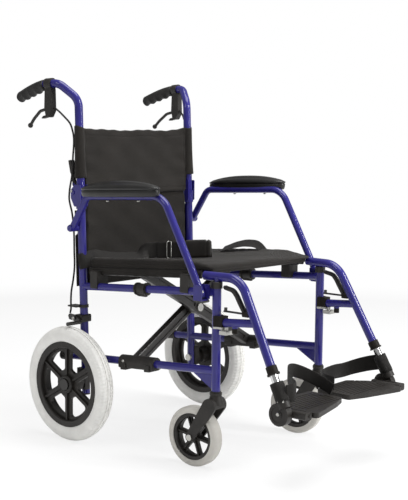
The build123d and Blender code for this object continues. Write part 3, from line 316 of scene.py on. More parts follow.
class Sock:
    """A shader socket in ordinary arithmetic, in which each operation adds a Math node."""

    def __init__(self, nodes, link):
        self.nodes, self.link = nodes, link

    def maths(self, operation, *terms, clamp=False):
        settings = {"operation": operation, "use_clamp": clamp}
        return self.nodes.node("ShaderNodeMath", settings, dict(enumerate(terms)))

    def __add__(self, other):
        return self.maths("ADD", self, other)

    def __sub__(self, other):
        return self.maths("SUBTRACT", self, other)

    def __rsub__(self, other):
        return self.maths("SUBTRACT", other, self)

    def __mul__(self, other):
        return self.maths("MULTIPLY", self, other)

    def __pow__(self, other):
        return self.maths("POWER", self, other)

    def __abs__(self):
        return self.maths("ABSOLUTE", self)

    __radd__, __rmul__ = __add__, __mul__

    def sin(self):
        return self.maths("SINE", self)

    def clamp(self):
        return self.maths("ADD", self, 0.0, clamp=True)

    def most(self, other):
        return self.maths("MAXIMUM", self, other)

    def between(self, low, high):
        """Smooth mask: 0 at the first value and 1 at the second, whichever of them is the greater."""
        inputs = {"Value": self, "From Min": low, "From Max": high}
        return self.nodes.node("ShaderNodeMapRange", {"interpolation_type": "SMOOTHSTEP"}, inputs)


class Nodes:
    """The node tree of a material or a world that is being made."""

    def __init__(self, owner):
        owner.use_nodes = True
        self.tree = owner.node_tree
        self.tree.nodes.clear()

    def node(self, kind, settings=None, inputs=None, out=0):
        """A new node's output; the settings are set first, then the values or links of its sockets."""
        node = self.tree.nodes.new(kind)
        for key, value in (settings or {}).items():
            setattr(node, key, value)
        for key, value in (inputs or {}).items():
            self.feed(node.inputs[key], value)
        return Sock(self, node.outputs[out])

    def feed(self, socket, value):
        if isinstance(value, Sock):
            self.tree.links.new(value.link, socket)
        else:
            socket.default_value = value

    def seen_by(self, *rays):
        """1 where either of two kinds of ray looks, and otherwise 0."""
        first, second = (self.node("ShaderNodeLightPath", out=f"Is {ray} Ray") for ray in rays)
        return first.most(second)


class Paint(Nodes):
    """One material, with its main shader; the constants are that shader's sockets."""

    def __init__(self, name, **constants):
        self.material = bpy.data.materials.new(name)
        super().__init__(self.material)
        self.shader = self.tree.nodes.new("ShaderNodeBsdfPrincipled")
        self.output = self.tree.nodes.new("ShaderNodeOutputMaterial")
        self.tree.links.new(self.shader.outputs[0], self.output.inputs[0])
        for socket, value in constants.items():
            self.set(socket.replace("_", " "), value)

    def set(self, socket, value):
        self.feed(self.shader.inputs[socket], value)

    def place(self):
        """Object coordinates, in metres of the chair's own frame."""
        return self.node("ShaderNodeTexCoord", out="Object")

    def flat(self):
        """The piece's own pattern map, in metres along and across."""
        return self.node("ShaderNodeTexCoord", out="UV")

    def axes(self, vector):
        parts = self.node("ShaderNodeSeparateXYZ", inputs={0: vector})
        return [Sock(self, parts.link.node.outputs[i]) for i in range(3)]

    def noise(self, vector, scale, detail=3.0):
        inputs = {"Vector": vector, "Scale": scale, "Detail": detail, "Roughness": 0.55}
        return self.node("ShaderNodeTexNoise", inputs=inputs)

    def cells(self, vector, scale, feature="F1"):
        inputs = {"Vector": vector, "Scale": scale}
        return self.node("ShaderNodeTexVoronoi", {"feature": feature}, inputs, "Distance")

    def mix(self, factor, a, b):
        return self.node("ShaderNodeMix", {"data_type": "RGBA"}, {0: factor, 6: a, 7: b}, out=2)

    def tint(self, mask, colour, dark, light):
        """Base colour between two shares of one colour, the dark one where the mask is 0."""
        self.set("Base Color", self.mix(mask, shade(colour, dark), shade(colour, light)))

    def bump(self, height, strength, distance):
        inputs = {"Height": height, "Strength": strength, "Distance": distance}
        self.set("Normal", self.node("ShaderNodeBump", inputs=inputs))


def shade(colour, share):
    """The same colour, lighter or darker."""
    return tuple(min(1.0, c * share) for c in colour[:3]) + (1.0,)


def blue_enamel(colour, name="blue_enamel", black=None):
    """Glossy enamel: faint orange peel, slight cloudiness and a clear top. Where black is given, it is the
    leg hanger's, with that colour on its mouldings and bare metal on its latch block."""
    p = Paint(name, Coat_Weight=0.7, Coat_Roughness=0.05, Specular_IOR_Level=0.1)
    where = p.place()
    tone = p.mix(p.noise(where, 14.0).between(0.3, 0.7), shade(colour, 0.88), shade(colour, 1.12))
    rough = p.noise(where, 60.0) * 0.12 + 0.3
    if black:
        mould, silver = hanger_masks(p, where)
        tone = p.mix(mould, tone, black)
        tone = p.mix(silver, tone, linear(188, 187, 182))
        rough = rough + mould * 0.14
        p.set("Coat Weight", 0.7 - mould.most(silver) * 0.7)
        p.set("Metallic", silver)
    p.set("Base Color", tone)
    p.set("Roughness", rough)
    p.bump(p.noise(where, 700.0, 1.0), 0.1, 0.0003)
    return p.material


def hanger_masks(p, where):
    """Masks of the leg hanger's mouldings (collar, saddle, lugs, bumper) and of its latch block. Along is the
    distance down the tube's line from its end, and away the distance from that line."""
    x, y, z = p.axes(where)
    run = unit(LEG_END - LEG_BEND)
    dx, dy, dz = abs(x) - LEG_END[0], y - LEG_END[1], z - LEG_END[2]
    along = dx * run[0] + dy * run[1] + dz * run[2]
    away = (dx * dx + dy * dy + dz * dz - along * along).most(0.0) ** 0.5
    off = away.between(0.0113, 0.0116)
    collar = along.between(-0.0207, -0.0203)
    saddle = z.between(0.4005, 0.3995) * y.between(Y0 - 0.4840, Y0 - 0.4830)
    lugs = z.between(0.3835, 0.3845) * z.between(0.4025, 0.4015) * off
    low = z.between(0.3565, 0.3555) * off
    silver = low * y.between(Y0 - 0.5023, Y0 - 0.5017)
    mould = collar.most(saddle).most(lugs).most(low) - silver
    return mould.clamp(), silver


def black_enamel(colour):
    """Satin black enamel of the folding braces and small metal parts."""
    p = Paint("black_enamel", Coat_Weight=0.25, Coat_Roughness=0.3)
    where = p.place()
    p.tint(p.noise(where, 22.0).between(0.3, 0.75), colour, 0.8, 1.5)
    p.set("Roughness", p.noise(where, 80.0) * 0.2 + 0.3)
    p.bump(p.noise(where, 1100.0, 1.0), 0.15, 0.0003)
    return p.material


def moulded_black(colour):
    """Black moulded plastic: fine spark-eroded grain with a dull sheen."""
    p = Paint("moulded_black", Specular_IOR_Level=0.4)
    where = p.place()
    p.tint(p.noise(where, 35.0).between(0.25, 0.8), colour, 0.8, 1.35)
    p.set("Roughness", p.noise(where, 120.0) * 0.18 + 0.4)
    p.bump(p.cells(where, 1500.0), 0.25, 0.0003)
    return p.material


def tyre_rubber(name, colour, tread=None):
    """Tyre rubber: dusty shoulders and moulding specks. Tread holds the radius and the axle's y and z of a
    wheel with two rows of fine blocks round its rim."""
    p = Paint(name, Specular_IOR_Level=0.3)
    where = p.place()
    dust = p.noise(where, 28.0, 5.0)
    speck = p.noise(where, 420.0, 2.0)
    p.tint((dust * 0.75 + speck * 0.25).between(0.35, 0.7), colour, 0.93, 1.03)
    p.set("Roughness", dust * 0.15 + 0.62)
    if tread:
        radius, axle_y, axle_z = tread
        x, y, z = p.axes(where)
        ry, rz = y - axle_y, z - axle_z
        turn = ry.maths("ARCTAN2", ry, rz)
        outer = ((ry * ry + rz * rz) ** 0.5).between(radius - 0.016, radius - 0.011)
        off = abs(abs(x) - TYRE_X)
        rows = (off * (2 * math.pi / 0.0075)).sin()
        blocks = (turn * 96.0 + off * 260.0).sin()
        p.bump((rows * 0.4 + blocks * 0.6) * outer + speck * 0.15, 0.5, 0.0011)
    else:
        p.bump(speck, 0.3, 0.0003)
    return p.material


def bright_metal(name, colour, rough, scratch, cap=None):
    """Bright plated metal with fine wear lines; cap gives the colour of the moulded axle cap."""
    p = Paint(name, Metallic=1.0)
    where = p.place()
    streak = p.noise(where, 260.0, 4.0)
    tone = p.mix(streak.between(0.3, 0.8), shade(colour, 0.9), colour)
    if cap:
        x, _, _ = p.axes(where)
        outer = abs(x).between(0.2888, 0.2892)
        tone = p.mix(outer, tone, cap)
        p.set("Metallic", 1.0 - outer)
    p.set("Base Color", tone)
    p.set("Roughness", streak * scratch + rough)
    p.bump(streak, 0.08, 0.0002)
    return p.material


def woven_nylon(colour):
    """Coated nylon cloth: plain weave, slight slubs and a soft sheen."""
    p = Paint("woven_nylon", Sheen_Weight=0.1, Sheen_Roughness=0.4, Specular_IOR_Level=0.2)
    where = p.place()
    x, y, z = p.axes(where)
    pitch = 2 * math.pi / 0.0011
    weave = (x * pitch).sin() * ((y + z) * pitch).sin()
    cloud = p.noise(where, 9.0, 4.0)
    slub = p.noise(where, 240.0, 2.0)
    p.tint((cloud * 0.6 + slub * 0.4).between(0.3, 0.72), colour, 0.78, 1.35)
    p.set("Roughness", slub * 0.2 + 0.66)
    p.bump(weave * 0.6 + cloud * 1.4 + slub * 0.5, 0.45, 0.0006)
    return p.material


def webbing(colour):
    """Seat belt webbing: diagonal ribs across the strap and a raised edge."""
    p = Paint("webbing", Sheen_Weight=0.06, Specular_IOR_Level=0.2)
    along, across, _ = p.axes(p.flat())
    zigzag = abs((across * (2 * math.pi / 0.009)).sin())
    rib = (along * (2 * math.pi / 0.0022) + zigzag * 1.6).sin()
    fuzz = p.noise(p.place(), 500.0, 2.0)
    p.tint((rib * 0.3 + fuzz).between(0.3, 0.9), colour, 0.8, 1.5)
    p.set("Roughness", fuzz * 0.2 + 0.5)
    p.bump(rib + fuzz * 0.5, 0.5, 0.0004)
    return p.material


def grained_vinyl(colour):
    """Leather-grained skin of the arm pads: small pebbles between fine creases."""
    p = Paint("grained_vinyl", Coat_Weight=0.5, Coat_Roughness=0.22, Specular_IOR_Level=0.2)
    where = p.place()
    pebble = p.cells(where, 620.0)
    crease = p.cells(where, 210.0, "DISTANCE_TO_EDGE")
    p.tint(p.noise(where, 18.0).between(0.3, 0.7), colour, 0.8, 1.3)
    p.set("Roughness", p.noise(where, 45.0) * 0.2 + 0.32)
    p.bump(pebble * -0.7 + crease.between(0.0, 0.06) * 0.5, 0.3, 0.0005)
    return p.material


def grip_rubber(colour):
    """Soft moulded grip: fine rings along the handle and a matt skin."""
    p = Paint("grip_rubber", Specular_IOR_Level=0.4)
    where = p.place()
    _, y, _ = p.axes(where)
    rings = (y * (2 * math.pi / 0.0042)).sin()
    speck = p.noise(where, 700.0, 2.0)
    p.tint(p.noise(where, 30.0).between(0.3, 0.7), colour, 0.8, 1.3)
    p.set("Roughness", speck * 0.2 + 0.52)
    p.bump(rings * 0.5 + speck * 0.4, 0.35, 0.0006)
    return p.material


def colour_property(name, description, *screen):
    """A colour that a user may change, given by its screen values."""
    return bpy.props.FloatVectorProperty(name=name, description=description, subtype="COLOR", size=4,
                                         default=linear(*screen), min=0, max=1)


def length_property(name, description, default, least, most):
    """A length that a user may change."""
    return bpy.props.FloatProperty(name=name, description=description, default=default, min=least,
                                   max=most, unit="LENGTH")


class ChairColours(bpy.types.PropertyGroup):
    """Colours of the chair's finishes."""
    enamel: colour_property("Frame enamel", "Colour of the painted tubes", 42, 38, 116)
    black: colour_property("Black mouldings", "Colour of the plastic parts", 34, 31, 28)
    rear_tyre: colour_property("Rear tyres", "Colour of the rear tyres", 238, 237, 233)
    castor_tyre: colour_property("Castor tyres", "Colour of the castor tyres", 200, 197, 190)
    cloth: colour_property("Upholstery", "Colour of the seat and back cloth", 33, 30, 27)


class ChairSizes(bpy.types.PropertyGroup):
    """Sizes of the soft parts."""
    sling_thickness: length_property("Back cloth", "Thickness of the back cloth", 0.005, 0.002, 0.012)
    belt_width: length_property("Belt width", "Width of the lap belt's webbing", 0.042, 0.03, 0.06)
    strap_width: length_property("Heel strap width", "Width of the heel straps", 0.04, 0.025, 0.06)


MATERIALS = {}


def finish_with(piece, slot_name):
    """Gives a new piece its material."""
    piece.data.materials.clear()
    piece.data.materials.append(MATERIALS[slot_name])


class CHAIR_OT_finishes(bpy.types.Operator):
    """Make the materials and put them on the frame's own parts"""
    bl_idname = "chair.finishes"
    bl_label = "Finishes"

    def execute(self, context):
        colours = context.scene.chair_colours
        enamel, black = tuple(colours.enamel), tuple(colours.black)
        steel = linear(196, 195, 190)
        MATERIALS.update({
            "blue_paint": blue_enamel(enamel),
            "black_paint": black_enamel(shade(black, 0.85)),
            "black_plastic": moulded_black(black),
            "light_tyre": tyre_rubber("light_tyre", tuple(colours.rear_tyre), (REAR_RADIUS, Y0, AXLE_Z)),
            "grey_tyre": tyre_rubber("grey_tyre", tuple(colours.castor_tyre)),
            "zinc_steel": bright_metal("zinc_steel", steel, 0.3, 0.12),
            "bright_chrome": bright_metal("bright_chrome", linear(232, 232, 232), 0.08, 0.05),
            "black_webbing": webbing(linear(25, 23, 21)),
            "black_cloth": woven_nylon(tuple(colours.cloth)),
            "black_vinyl": grained_vinyl(linear(24, 23, 22)),
            "black_rubber": grip_rubber(linear(30, 29, 28)),
        })
        hanger = blue_enamel(enamel, "hanger_enamel", black)
        axle = bright_metal("axle_steel", steel, 0.3, 0.12, black)
        slots = {entry["node"]: entry["material_slot"] for entry in frame["record"]["subparts"]}
        for name, node in frame["nodes"].items():
            material = MATERIALS[slots[name]]
            if name.startswith("leg_hanger"):
                material = hanger
            if name.startswith("rear_axle"):
                material = axle
            if not node.material_slots:
                node.data.materials.append(material)
            for place in node.material_slots:
                place.material = material
        return {"FINISHED"}


# Soft pieces


def outline(half_x, half_y, power, count):
    """Superellipse spaced evenly by its run plus its turn, so that the corners keep enough points."""
    angle = full_turn(9000)
    c, s = np.cos(angle), np.sin(angle)
    reach = (np.abs(c / half_x) ** power + np.abs(s / half_y) ** power) ** (-1 / power)
    x, y = reach * c, reach * s
    dx, dy = np.roll(x, -1) - x, np.roll(y, -1) - y
    turn = np.abs(np.diff(np.unwrap(np.arctan2(dy, dx)), append=np.arctan2(dy, dx)[0] + 2 * np.pi))
    step = np.hypot(dx, dy)
    run = np.r_[0, np.cumsum(step / step.sum() + turn / turn.sum())]
    want = np.linspace(0, run[-1], count, endpoint=False)
    return np.interp(want, run[:-1], x), np.interp(want, run[:-1], y)


def cushion_points(half_x, half_y, profile, power, count):
    """Closed pad on polar lines: an outline scaled by the profile's rows of inset, share and height."""
    x, y = outline(half_x, half_y, power, count)
    inset, share, height = np.array(profile, float).T
    scale_x = share * (half_x - inset) / half_x
    scale_y = share * (half_y - inset) / half_y
    return np.stack([x[:, None] * scale_x, y[:, None] * scale_y,
                     np.repeat(height[None, :], count, 0)], -1)


def with_braces(piece):
    """Bakes a piece's placement into its mesh."""
    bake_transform(piece)


class CHAIR_OT_seat(bpy.types.Operator):
    """Make the padded seat, which sags between its rails, and the cloth sleeves on the rails"""
    bl_idname = "chair.seat"
    bl_label = "Seat"

    def execute(self, context):
        self.cushion()
        for side, name in SIDE_NAMES.items():
            self.sleeve(side, name)
        return {"FINISHED"}

    def cushion(self):
        """Slab with a piped seam 8.5 mm above its foot. Its top follows the seat's sag, droop and tilt, and
        its foot does so less."""
        low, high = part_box("seat")
        half_x, half_y = (high.x - low.x) / 2, (high.y - low.y) / 2 * 0.9985
        middle_y = (low.y + high.y) / 2
        bottom = [(0.003, s, 0.0) for s in np.linspace(0.0, 0.98, 14)]
        side = [(0.003, 1, 0.0), (0.0012, 1, 0.0012), (0.0009, 1, 0.0040), (0.0009, 1, 0.0072),
                (0.0003, 1, 0.0077), (0.0, 1, 0.0085), (0.0003, 1, 0.0093), (0.0010, 1, 0.0099),
                (0.0007, 1, 0.0125), (0.0009, 1, 0.0165), (0.0018, 1, 0.0196), (0.0038, 1, 0.0222),
                (0.0066, 1, 0.0240), (0.0100, 1, 0.0248)]
        top = [(0.0100, s, 0.0250) for s in np.linspace(0.975, 0.0, 34)]
        points = cushion_points(half_x, half_y, bottom + side + top, power=34, count=340)
        share = points[..., 2] / SEAT_THICK
        tip = smoothstep(0.12, 0.205, points[..., 0]) * smoothstep(-0.13, -0.208, points[..., 1])
        tip = tip * smoothstep(0.42, 0.6, share)
        x, along = points[..., 0] + 0.0055 * tip, points[..., 1] - 0.0090 * tip
        y = along + middle_y
        drop = (seat_dip(x, y) + seat_droop(x, y)) * (0.78 + 0.22 * share)
        drop = drop + seat_tilt(x) * smoothstep(0.35, 1.0, share)
        to_side, to_end = np.abs(x) / half_x, np.abs(along) / half_y
        pucker = np.sin(x * 260 + np.sin(x * 41) * 2) * smoothstep(0.86, 0.97, to_end)
        pucker += np.sin(y * 240 + np.sin(y * 37) * 2) * smoothstep(0.88, 0.97, to_side)
        wave = np.sin(x * 33 + 1.0) * np.sin(y * 29) * 0.0008 + np.sin(x * 74 + y * 22) * 0.0004
        folds = wave + 0.0005 * pucker * (np.maximum(to_side, to_end) < 0.995)
        z = seat_z(y) + points[..., 2] - drop + smoothstep(0.45, 1.0, share) * folds
        pinch = smoothstep(Y0 - 0.385, Y0 - 0.403, y) * smoothstep(0.4884, 0.4868, z)
        piece = surface("seat_cushion", np.stack([x * (1 - 0.053 * pinch), y, z], -1), wrap_u=True)
        finish_with(piece, "black_cloth")
        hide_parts("seat")
        with_braces(piece)

    def sleeve(self, side, name):
        """Cloth round the outer side of a seat rail, cut away where the rail rests in its saddles."""
        y = np.linspace(-0.405, -0.012, 180) + Y0
        gap = np.min([np.abs(y - Y0 - place) for place in SADDLES], axis=0)
        foot = np.radians(-50 + 68 * smoothstep(0.019, 0.015, gap))[:, None]
        t = np.linspace(0, 1, 22)
        angle = foot + (math.radians(100) - foot) * t
        fold = 0.0003 * np.sin(y * 190)[:, None] * (1 - t)
        radius = np.concatenate([0.01255 + fold, np.full_like(fold, 0.01125)], 1)
        turn = np.concatenate([angle, angle[:, ::-1]], 1)
        x = side * (RAIL_X + radius * np.cos(turn))
        z = seat_z(y)[:, None] - RAIL_DROP + radius * np.sin(turn)
        points = np.stack([x, np.broadcast_to(y[:, None], x.shape), z], -1)
        middle = (points + points[:, ::-1]) / 2
        points = np.concatenate([middle[:1], points, middle[-1:]])
        piece = surface(f"seat_sleeve_{name}", points, wrap_v=True)
        finish_with(piece, "black_cloth")
        bar = "brace_b" if side == RIGHT else "brace_a"
        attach(piece, bar)


def cloth_band(name, x, z, middle, half):
    """Closed sheet over x and z grids, with its faces half a thickness before and behind the middle."""
    points = np.concatenate([np.stack([x, middle - half, z], -1), np.stack([x, middle + half, z], -1)[::-1]])
    n = len(x)
    caps = []
    for rim in (points[:, :1], points[:, -1:]):
        centre = (rim[:n] + rim[n:][::-1]) / 2
        caps.append(np.concatenate([centre, centre[::-1]]))
    return surface(name, np.concatenate([caps[0], points, caps[1]], 1), wrap_u=True)


class CHAIR_OT_back(bpy.types.Operator):
    """Make the back's cloths: an upper one sleeved on the back tubes and a lower one on the posts"""
    bl_idname = "chair.back"
    bl_label = "Back cloths"

    def execute(self, context):
        half = context.scene.chair_sizes.sling_thickness / 2
        self.upper(half)
        self.lower(half)
        return {"FINISHED"}

    def upper(self, half):
        """Sheet whose half thickness swells to a circle round each tube; the flap hangs below the sleeves."""
        u, v = np.meshgrid(crowded(201, 1.6), np.linspace(0, 1, 70), indexing="ij")
        sleeve = 0.0133 + 0.003 * (1 - v) ** 3
        x = u * (POST_X + sleeve)
        off = np.abs(x)
        flap = smoothstep(0.2, 0.196, off)
        bottom = 0.6925 - 0.0465 * flap
        top = 0.833 - 0.0125 * (1 - np.abs(u) ** 5) + 0.0008 * np.sin(u * 31) + 0.0012 * np.sin(u * 9)
        z = bottom + (top - bottom) * v
        ring = np.sqrt(np.clip(sleeve ** 2 - (off - POST_X) ** 2, 0, None))
        seam = 0.0006 * ridge(off - 0.192, 0.0012)
        hem = 0.0008 * (ridge(top - z - 0.018, 0.0015) + ridge(z - bottom - 0.012, 0.0015))
        body = (half - seam - hem) * smoothstep(POST_X + 0.014, POST_X + 0.008, off)
        thick = np.maximum(ring, body) * rounded(2 * v - 1, 60)
        sag = 0.007 * bow(x) * (0.5 + 0.5 * v) - 0.004 * smoothstep(0.69, 0.65, z) * flap
        fan = np.exp(-np.clip(RAIL_X - off, 0, None) / 0.035)
        ripple = 0.0011 * np.sin(x * 60 + z * 35) * np.sin(z * 48) + 0.0012 * fan * np.sin(z * 150 + x * 25)
        piece = cloth_band("upper_back_cloth", x, z, post_y(z) + sag + ripple * flap, thick)
        finish_with(piece, "black_cloth")
        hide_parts("upper_back_sling")
        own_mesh(piece)
        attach(piece, "back_right")

    def lower(self, half):
        """Sheet between the posts that passes behind them at its sides and hangs down behind the seat."""
        u, v = np.meshgrid(crowded(181, 1.25), np.linspace(0, 1, 80), indexing="ij")
        foot = 0.405
        level = foot + 0.2 * v
        rod = smoothstep(0.538, 0.545, level) * smoothstep(0.587, 0.58, level)
        x = u * (0.2255 - 0.0085 * rod)
        off = np.abs(x)
        outer = smoothstep(0.192, 0.206, off)
        strip = smoothstep(0.1955, 0.1985, off)
        top = 0.650 - 0.0425 * strip + 0.0006 * np.sin(u * 23) * (1 - strip)
        z = foot + (top - foot) * v
        sag = 0.008 * bow(x) * smoothstep(foot, 0.5, z) + 0.003 * smoothstep(0.63, 0.65, z)
        fan = np.exp(-np.clip(RAIL_X - off, 0, None) / 0.04)
        ripple = 0.0012 * np.sin(x * 45 + z * 30) * np.sin(z * 55 + x * 8) + 0.0013 * fan * np.sin(z * 130)
        middle = post_y(z) + sag + ripple * (1 - outer) + outer * (0.0113 + half)
        hem = 1 - 0.25 * ridge(top - z - 0.014, 0.0014)
        thick = half * rounded(u, 80) * rounded(2 * v - 1, 60) * hem
        piece = cloth_band("lower_back_cloth", x, z, middle, thick)
        finish_with(piece, "black_cloth")
        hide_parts("lower_back_sling")
        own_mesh(piece)
        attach(piece, "right_frame")


class CHAIR_OT_arm_pads(bpy.types.Operator):
    """Make the arm pads: a base that saddles the tube, a seam and a crowned, rounded top"""
    bl_idname = "chair.arm_pads"
    bl_label = "Arm pads"

    def execute(self, context):
        bottom = [(0.008, s, -0.0085) for s in np.linspace(0, 0.96, 8)]
        edge = [(0.0080, 1, -0.0085), (0.0050, 1, -0.0078), (0.0030, 1, -0.0055), (0.0018, 1, -0.0010),
                (0.0012, 1, 0.0070), (0.0017, 1, 0.0078), (0.0028, 1, 0.0084), (0.0028, 1, 0.0092),
                (0.0010, 1, 0.0100), (0.0, 1, 0.0125), (0.0008, 1, 0.0160), (0.0032, 1, 0.0200),
                (0.0068, 1, 0.0232), (0.0115, 1, 0.0256)]
        top = [(0.0115, s, 0.0256 + 0.0064 * (1 - s ** 2.2)) for s in np.linspace(0.95, 0, 18)]
        for name in SIDE_NAMES.values():
            low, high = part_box(f"arm_pad_{name}")
            half_x, half_y = (high.x - low.x) / 2, (high.y - low.y) / 2 * 0.935
            points = cushion_points(half_x, half_y, bottom + edge + top, power=2.9, count=200)
            along = points[..., 1] / half_y
            points[..., 2] -= smoothstep(0.010, 0.026, points[..., 2]) * 0.0085 * np.abs(along) ** 2.6
            base = low.z + (high.z - low.z - 0.027) / 2
            points[..., 2] += base - points[..., 1] * (0.012 / 0.268)
            points[..., 0] += (low.x + high.x) / 2
            points[..., 1] += (low.y + high.y) / 2 - 0.004
            piece = surface(f"arm_pad_skin_{name}", points, wrap_u=True)
            finish_with(piece, "black_vinyl")
            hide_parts(f"arm_pad_{name}")
            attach(piece, f"arm_rest_{name}")
        return {"FINISHED"}


def on_seat(plan, lean, rise, width, count):
    """Band over the seat's top through plan places, in millimetres from the rear axle. Lean is how far it
    stands on its edge at each, from 0 to 1, and rise how far it is lifted, in millimetres."""
    plan = np.array(plan, float) / 1000 + [0, Y0]
    level = 0 * plan[:, 0]
    path = smooth_path(np.column_stack([plan, level]), count)
    reach, run = run_along(plan), run_along(path)
    run *= reach[-1] / run[-1]
    lean = np.convolve(np.pad(np.interp(run, reach, lean), 4, mode="edge"), np.ones(9) / 9, "valid")
    rise = smooth_path(np.column_stack([reach, np.array(rise) / 1000, level]), count)[:, 1]
    path[:, 2] = seat_top(path[:, 0], path[:, 1]) + width / 2 * lean + 0.0016 + rise
    tangent = heading(path)
    beside = unit(np.column_stack([-tangent[:, 1], tangent[:, 0], 0 * lean]))
    flatness = np.sqrt(np.clip(1 - lean ** 2, 0, None))[:, None]
    across = beside * flatness + np.array([0, 0, 1.0]) * lean[:, None]
    across = unit(across - (across * tangent).sum(1)[:, None] * tangent)
    return path, across, np.cross(tangent, across)


class CHAIR_OT_lap_belt(bpy.types.Operator):
    """Make the lap belt: webbing on its edge over the seat, a slider, a buckle case and the far loop"""
    bl_idname = "chair.lap_belt"
    bl_label = "Lap belt"

    def execute(self, context):
        width = context.scene.chair_sizes.belt_width
        near = [(-226.9, 13), (-225, 4), (-219, -1), (-210, -4), (-196, -10), (-180, -20), (-158, -34),
                (-125, -57), (-94, -82), (-80, -93), (-35, -173), (8, -250)]
        lean = [1, 1, 1, 0.95, 0.7, 0.4, 0.3, 0.28, 0.32, 0.96, 1, 1]
        rise = [-33, -32, -30, -25, -4, 0, 0, 0, 0, 0, 0, 0]
        path, across, thick = on_seat(near, lean, rise, width, 190)
        t = np.linspace(0, 1, 190)
        path = path + thick * (0.0016 * np.sin(11 * t) * smoothstep(0.5, 0.65, t))[:, None]
        lap, slide, case = slice(112, 150), 130, slice(150, 190)
        parts = [swept("belt_run", path, across, thick, width, 0.0024),
                 swept("belt_lap", path[lap] + thick[lap] * 0.0024, across[lap], thick[lap], width, 0.0022)]
        far = [(163, -160), (170, -196), (184, -240), (196, -266), (200, -277)]
        loop, over, flat = on_seat(far, [0.35, 0.42, 0.42, 0.42, 0.3], [-3, 5, 9, 2, -15], width, 70)
        parts.append(swept("belt_loop", loop, over, flat, width * 0.94, 0.0024))
        t = np.linspace(-1, 1, 40)
        body = rounded(t, 9, 0.02)
        groove = 1 - 0.13 * ridge(t - 0.66, 0.05)
        buckle = swept("belt_buckle", path[case] + [0, 0, 0.0026], across[case], thick[case],
                       0.047 * body ** 0.4 * groove, 0.015 * body * groove, 7, 5)
        angle = full_turn(72)
        c = np.cos(angle)
        high = signed_power(np.sin(angle), 0.4) * 0.0228
        wide = signed_power(c, 0.4) * 0.0062
        beside = np.cross(across[slide], thick[slide])
        ring = path[slide] + high[:, None] * across[slide] + wide[:, None] * beside
        ring = ring + thick[slide] * (0.0012 + 0.0046 * np.abs(c) ** 0.5)[:, None]
        slider = tube("belt_slider", ring, 0.0011, 10, True)
        belt = one_mesh("lap_belt_webbing", parts)
        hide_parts("lap_belt")
        for piece, finish in ((belt, "black_webbing"), (buckle, "black_plastic"), (slider, "zinc_steel")):
            finish_with(piece, finish)
            with_braces(piece)
        return {"FINISHED"}


class CHAIR_OT_heel_straps(bpy.types.Operator):
    """Make the heel straps: a sleeve round each extension tube and a band that stands behind the foot"""
    bl_idname = "chair.heel_straps"
    bl_label = "Heel straps"

    def execute(self, context):
        share = context.scene.chair_sizes.strap_width / 0.04
        bands = {
            RIGHT: ([(-221, -673, 225), (-200, -679, 227), (-184, -673, 227), (-160, -645, 231),
                     (-112, -598, 249), (-80, -590, 246), (-45, -608, 231), (-26, -634, 214),
                     (-21, -664, 200)], [42, 41, 39, 37, 35, 33, 31, 30, 30]),
            LEFT: ([(-224, -640, 228), (-214, -615, 222), (-190, -585, 212), (-160, -574, 207),
                    (-120, -572, 208), (-80, -573, 206), (-45, -585, 206), (-24, -612, 206),
                    (-21, -640, 205)], [40, 39, 38, 38, 38, 38, 37, 35, 34]),
        }
        sleeve_rows = [(0.0135, 0), (0.0164, 0.0006), (0.0168, 0.012), (0.0164, 0.026), (0.0168, 0.040),
                       (0.0162, 0.0482), (0.0135, 0.0488), (0.0135, 0)]
        for side, (corners, widths) in bands.items():
            name = SIDE_NAMES[side]
            path = smooth_path(chair_points(corners, side), 90)
            width = np.interp(np.linspace(0, 1, 90), np.linspace(0, 1, 9), widths) / 1000 * share
            tangent = heading(path)
            across = unit(np.array([0, 0, 1.0]) - tangent[:, 2:] * tangent)
            band = swept("band", path, across, np.cross(tangent, across), width, 0.0026)
            run, end = unit(LEG_END - LEG_BEND) * [side, 1, 1], LEG_END * [side, 1, 1]
            near = (end[2] - 0.2468) / -run[2]
            profile = [(radius, near + height) for radius, height in sleeve_rows]
            sleeve = revolved("sleeve", profile, end, run, 40)
            piece = one_mesh(f"heel_strap_webbing_{name}", [band, sleeve])
            finish_with(piece, "black_webbing")
            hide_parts(f"heel_strap_{name}")
            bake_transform(piece)
        return {"FINISHED"}


# Fittings


class CHAIR_OT_cables(bpy.types.Operator):
    """Make the brake cables, which bend where the back folds"""
    bl_idname = "chair.cables"
    bl_label = "Brake cables"

    def execute(self, context):
        corners = [(-247, 83, 878), (-243, 70, 868), (-235.5, 56, 853), (-229, 43, 837), (-225.5, 36, 815),
                   (-225.5, 36, 745), (-226.5, 39, 700), (-225.5, 50, 655), (-225.5, 51, 640),
                   (-220, 46, 600), (-217, 43, 560), (-217, 41, 500), (-219, 38.5, 450), (-226, 36, 420),
                   (-234, 34.5, 390), (-236, 34, 365), (-236, 34, 343), (-237, 36, 333)]
        for side, name in SIDE_NAMES.items():
            path = smooth_path(chair_points(corners, side), 160)
            piece = tube(f"brake_cable_sheath_{name}", path, 0.0025)
            finish_with(piece, "black_rubber")
            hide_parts(f"brake_cable_{name}")
            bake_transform(piece)
        return {"FINISHED"}


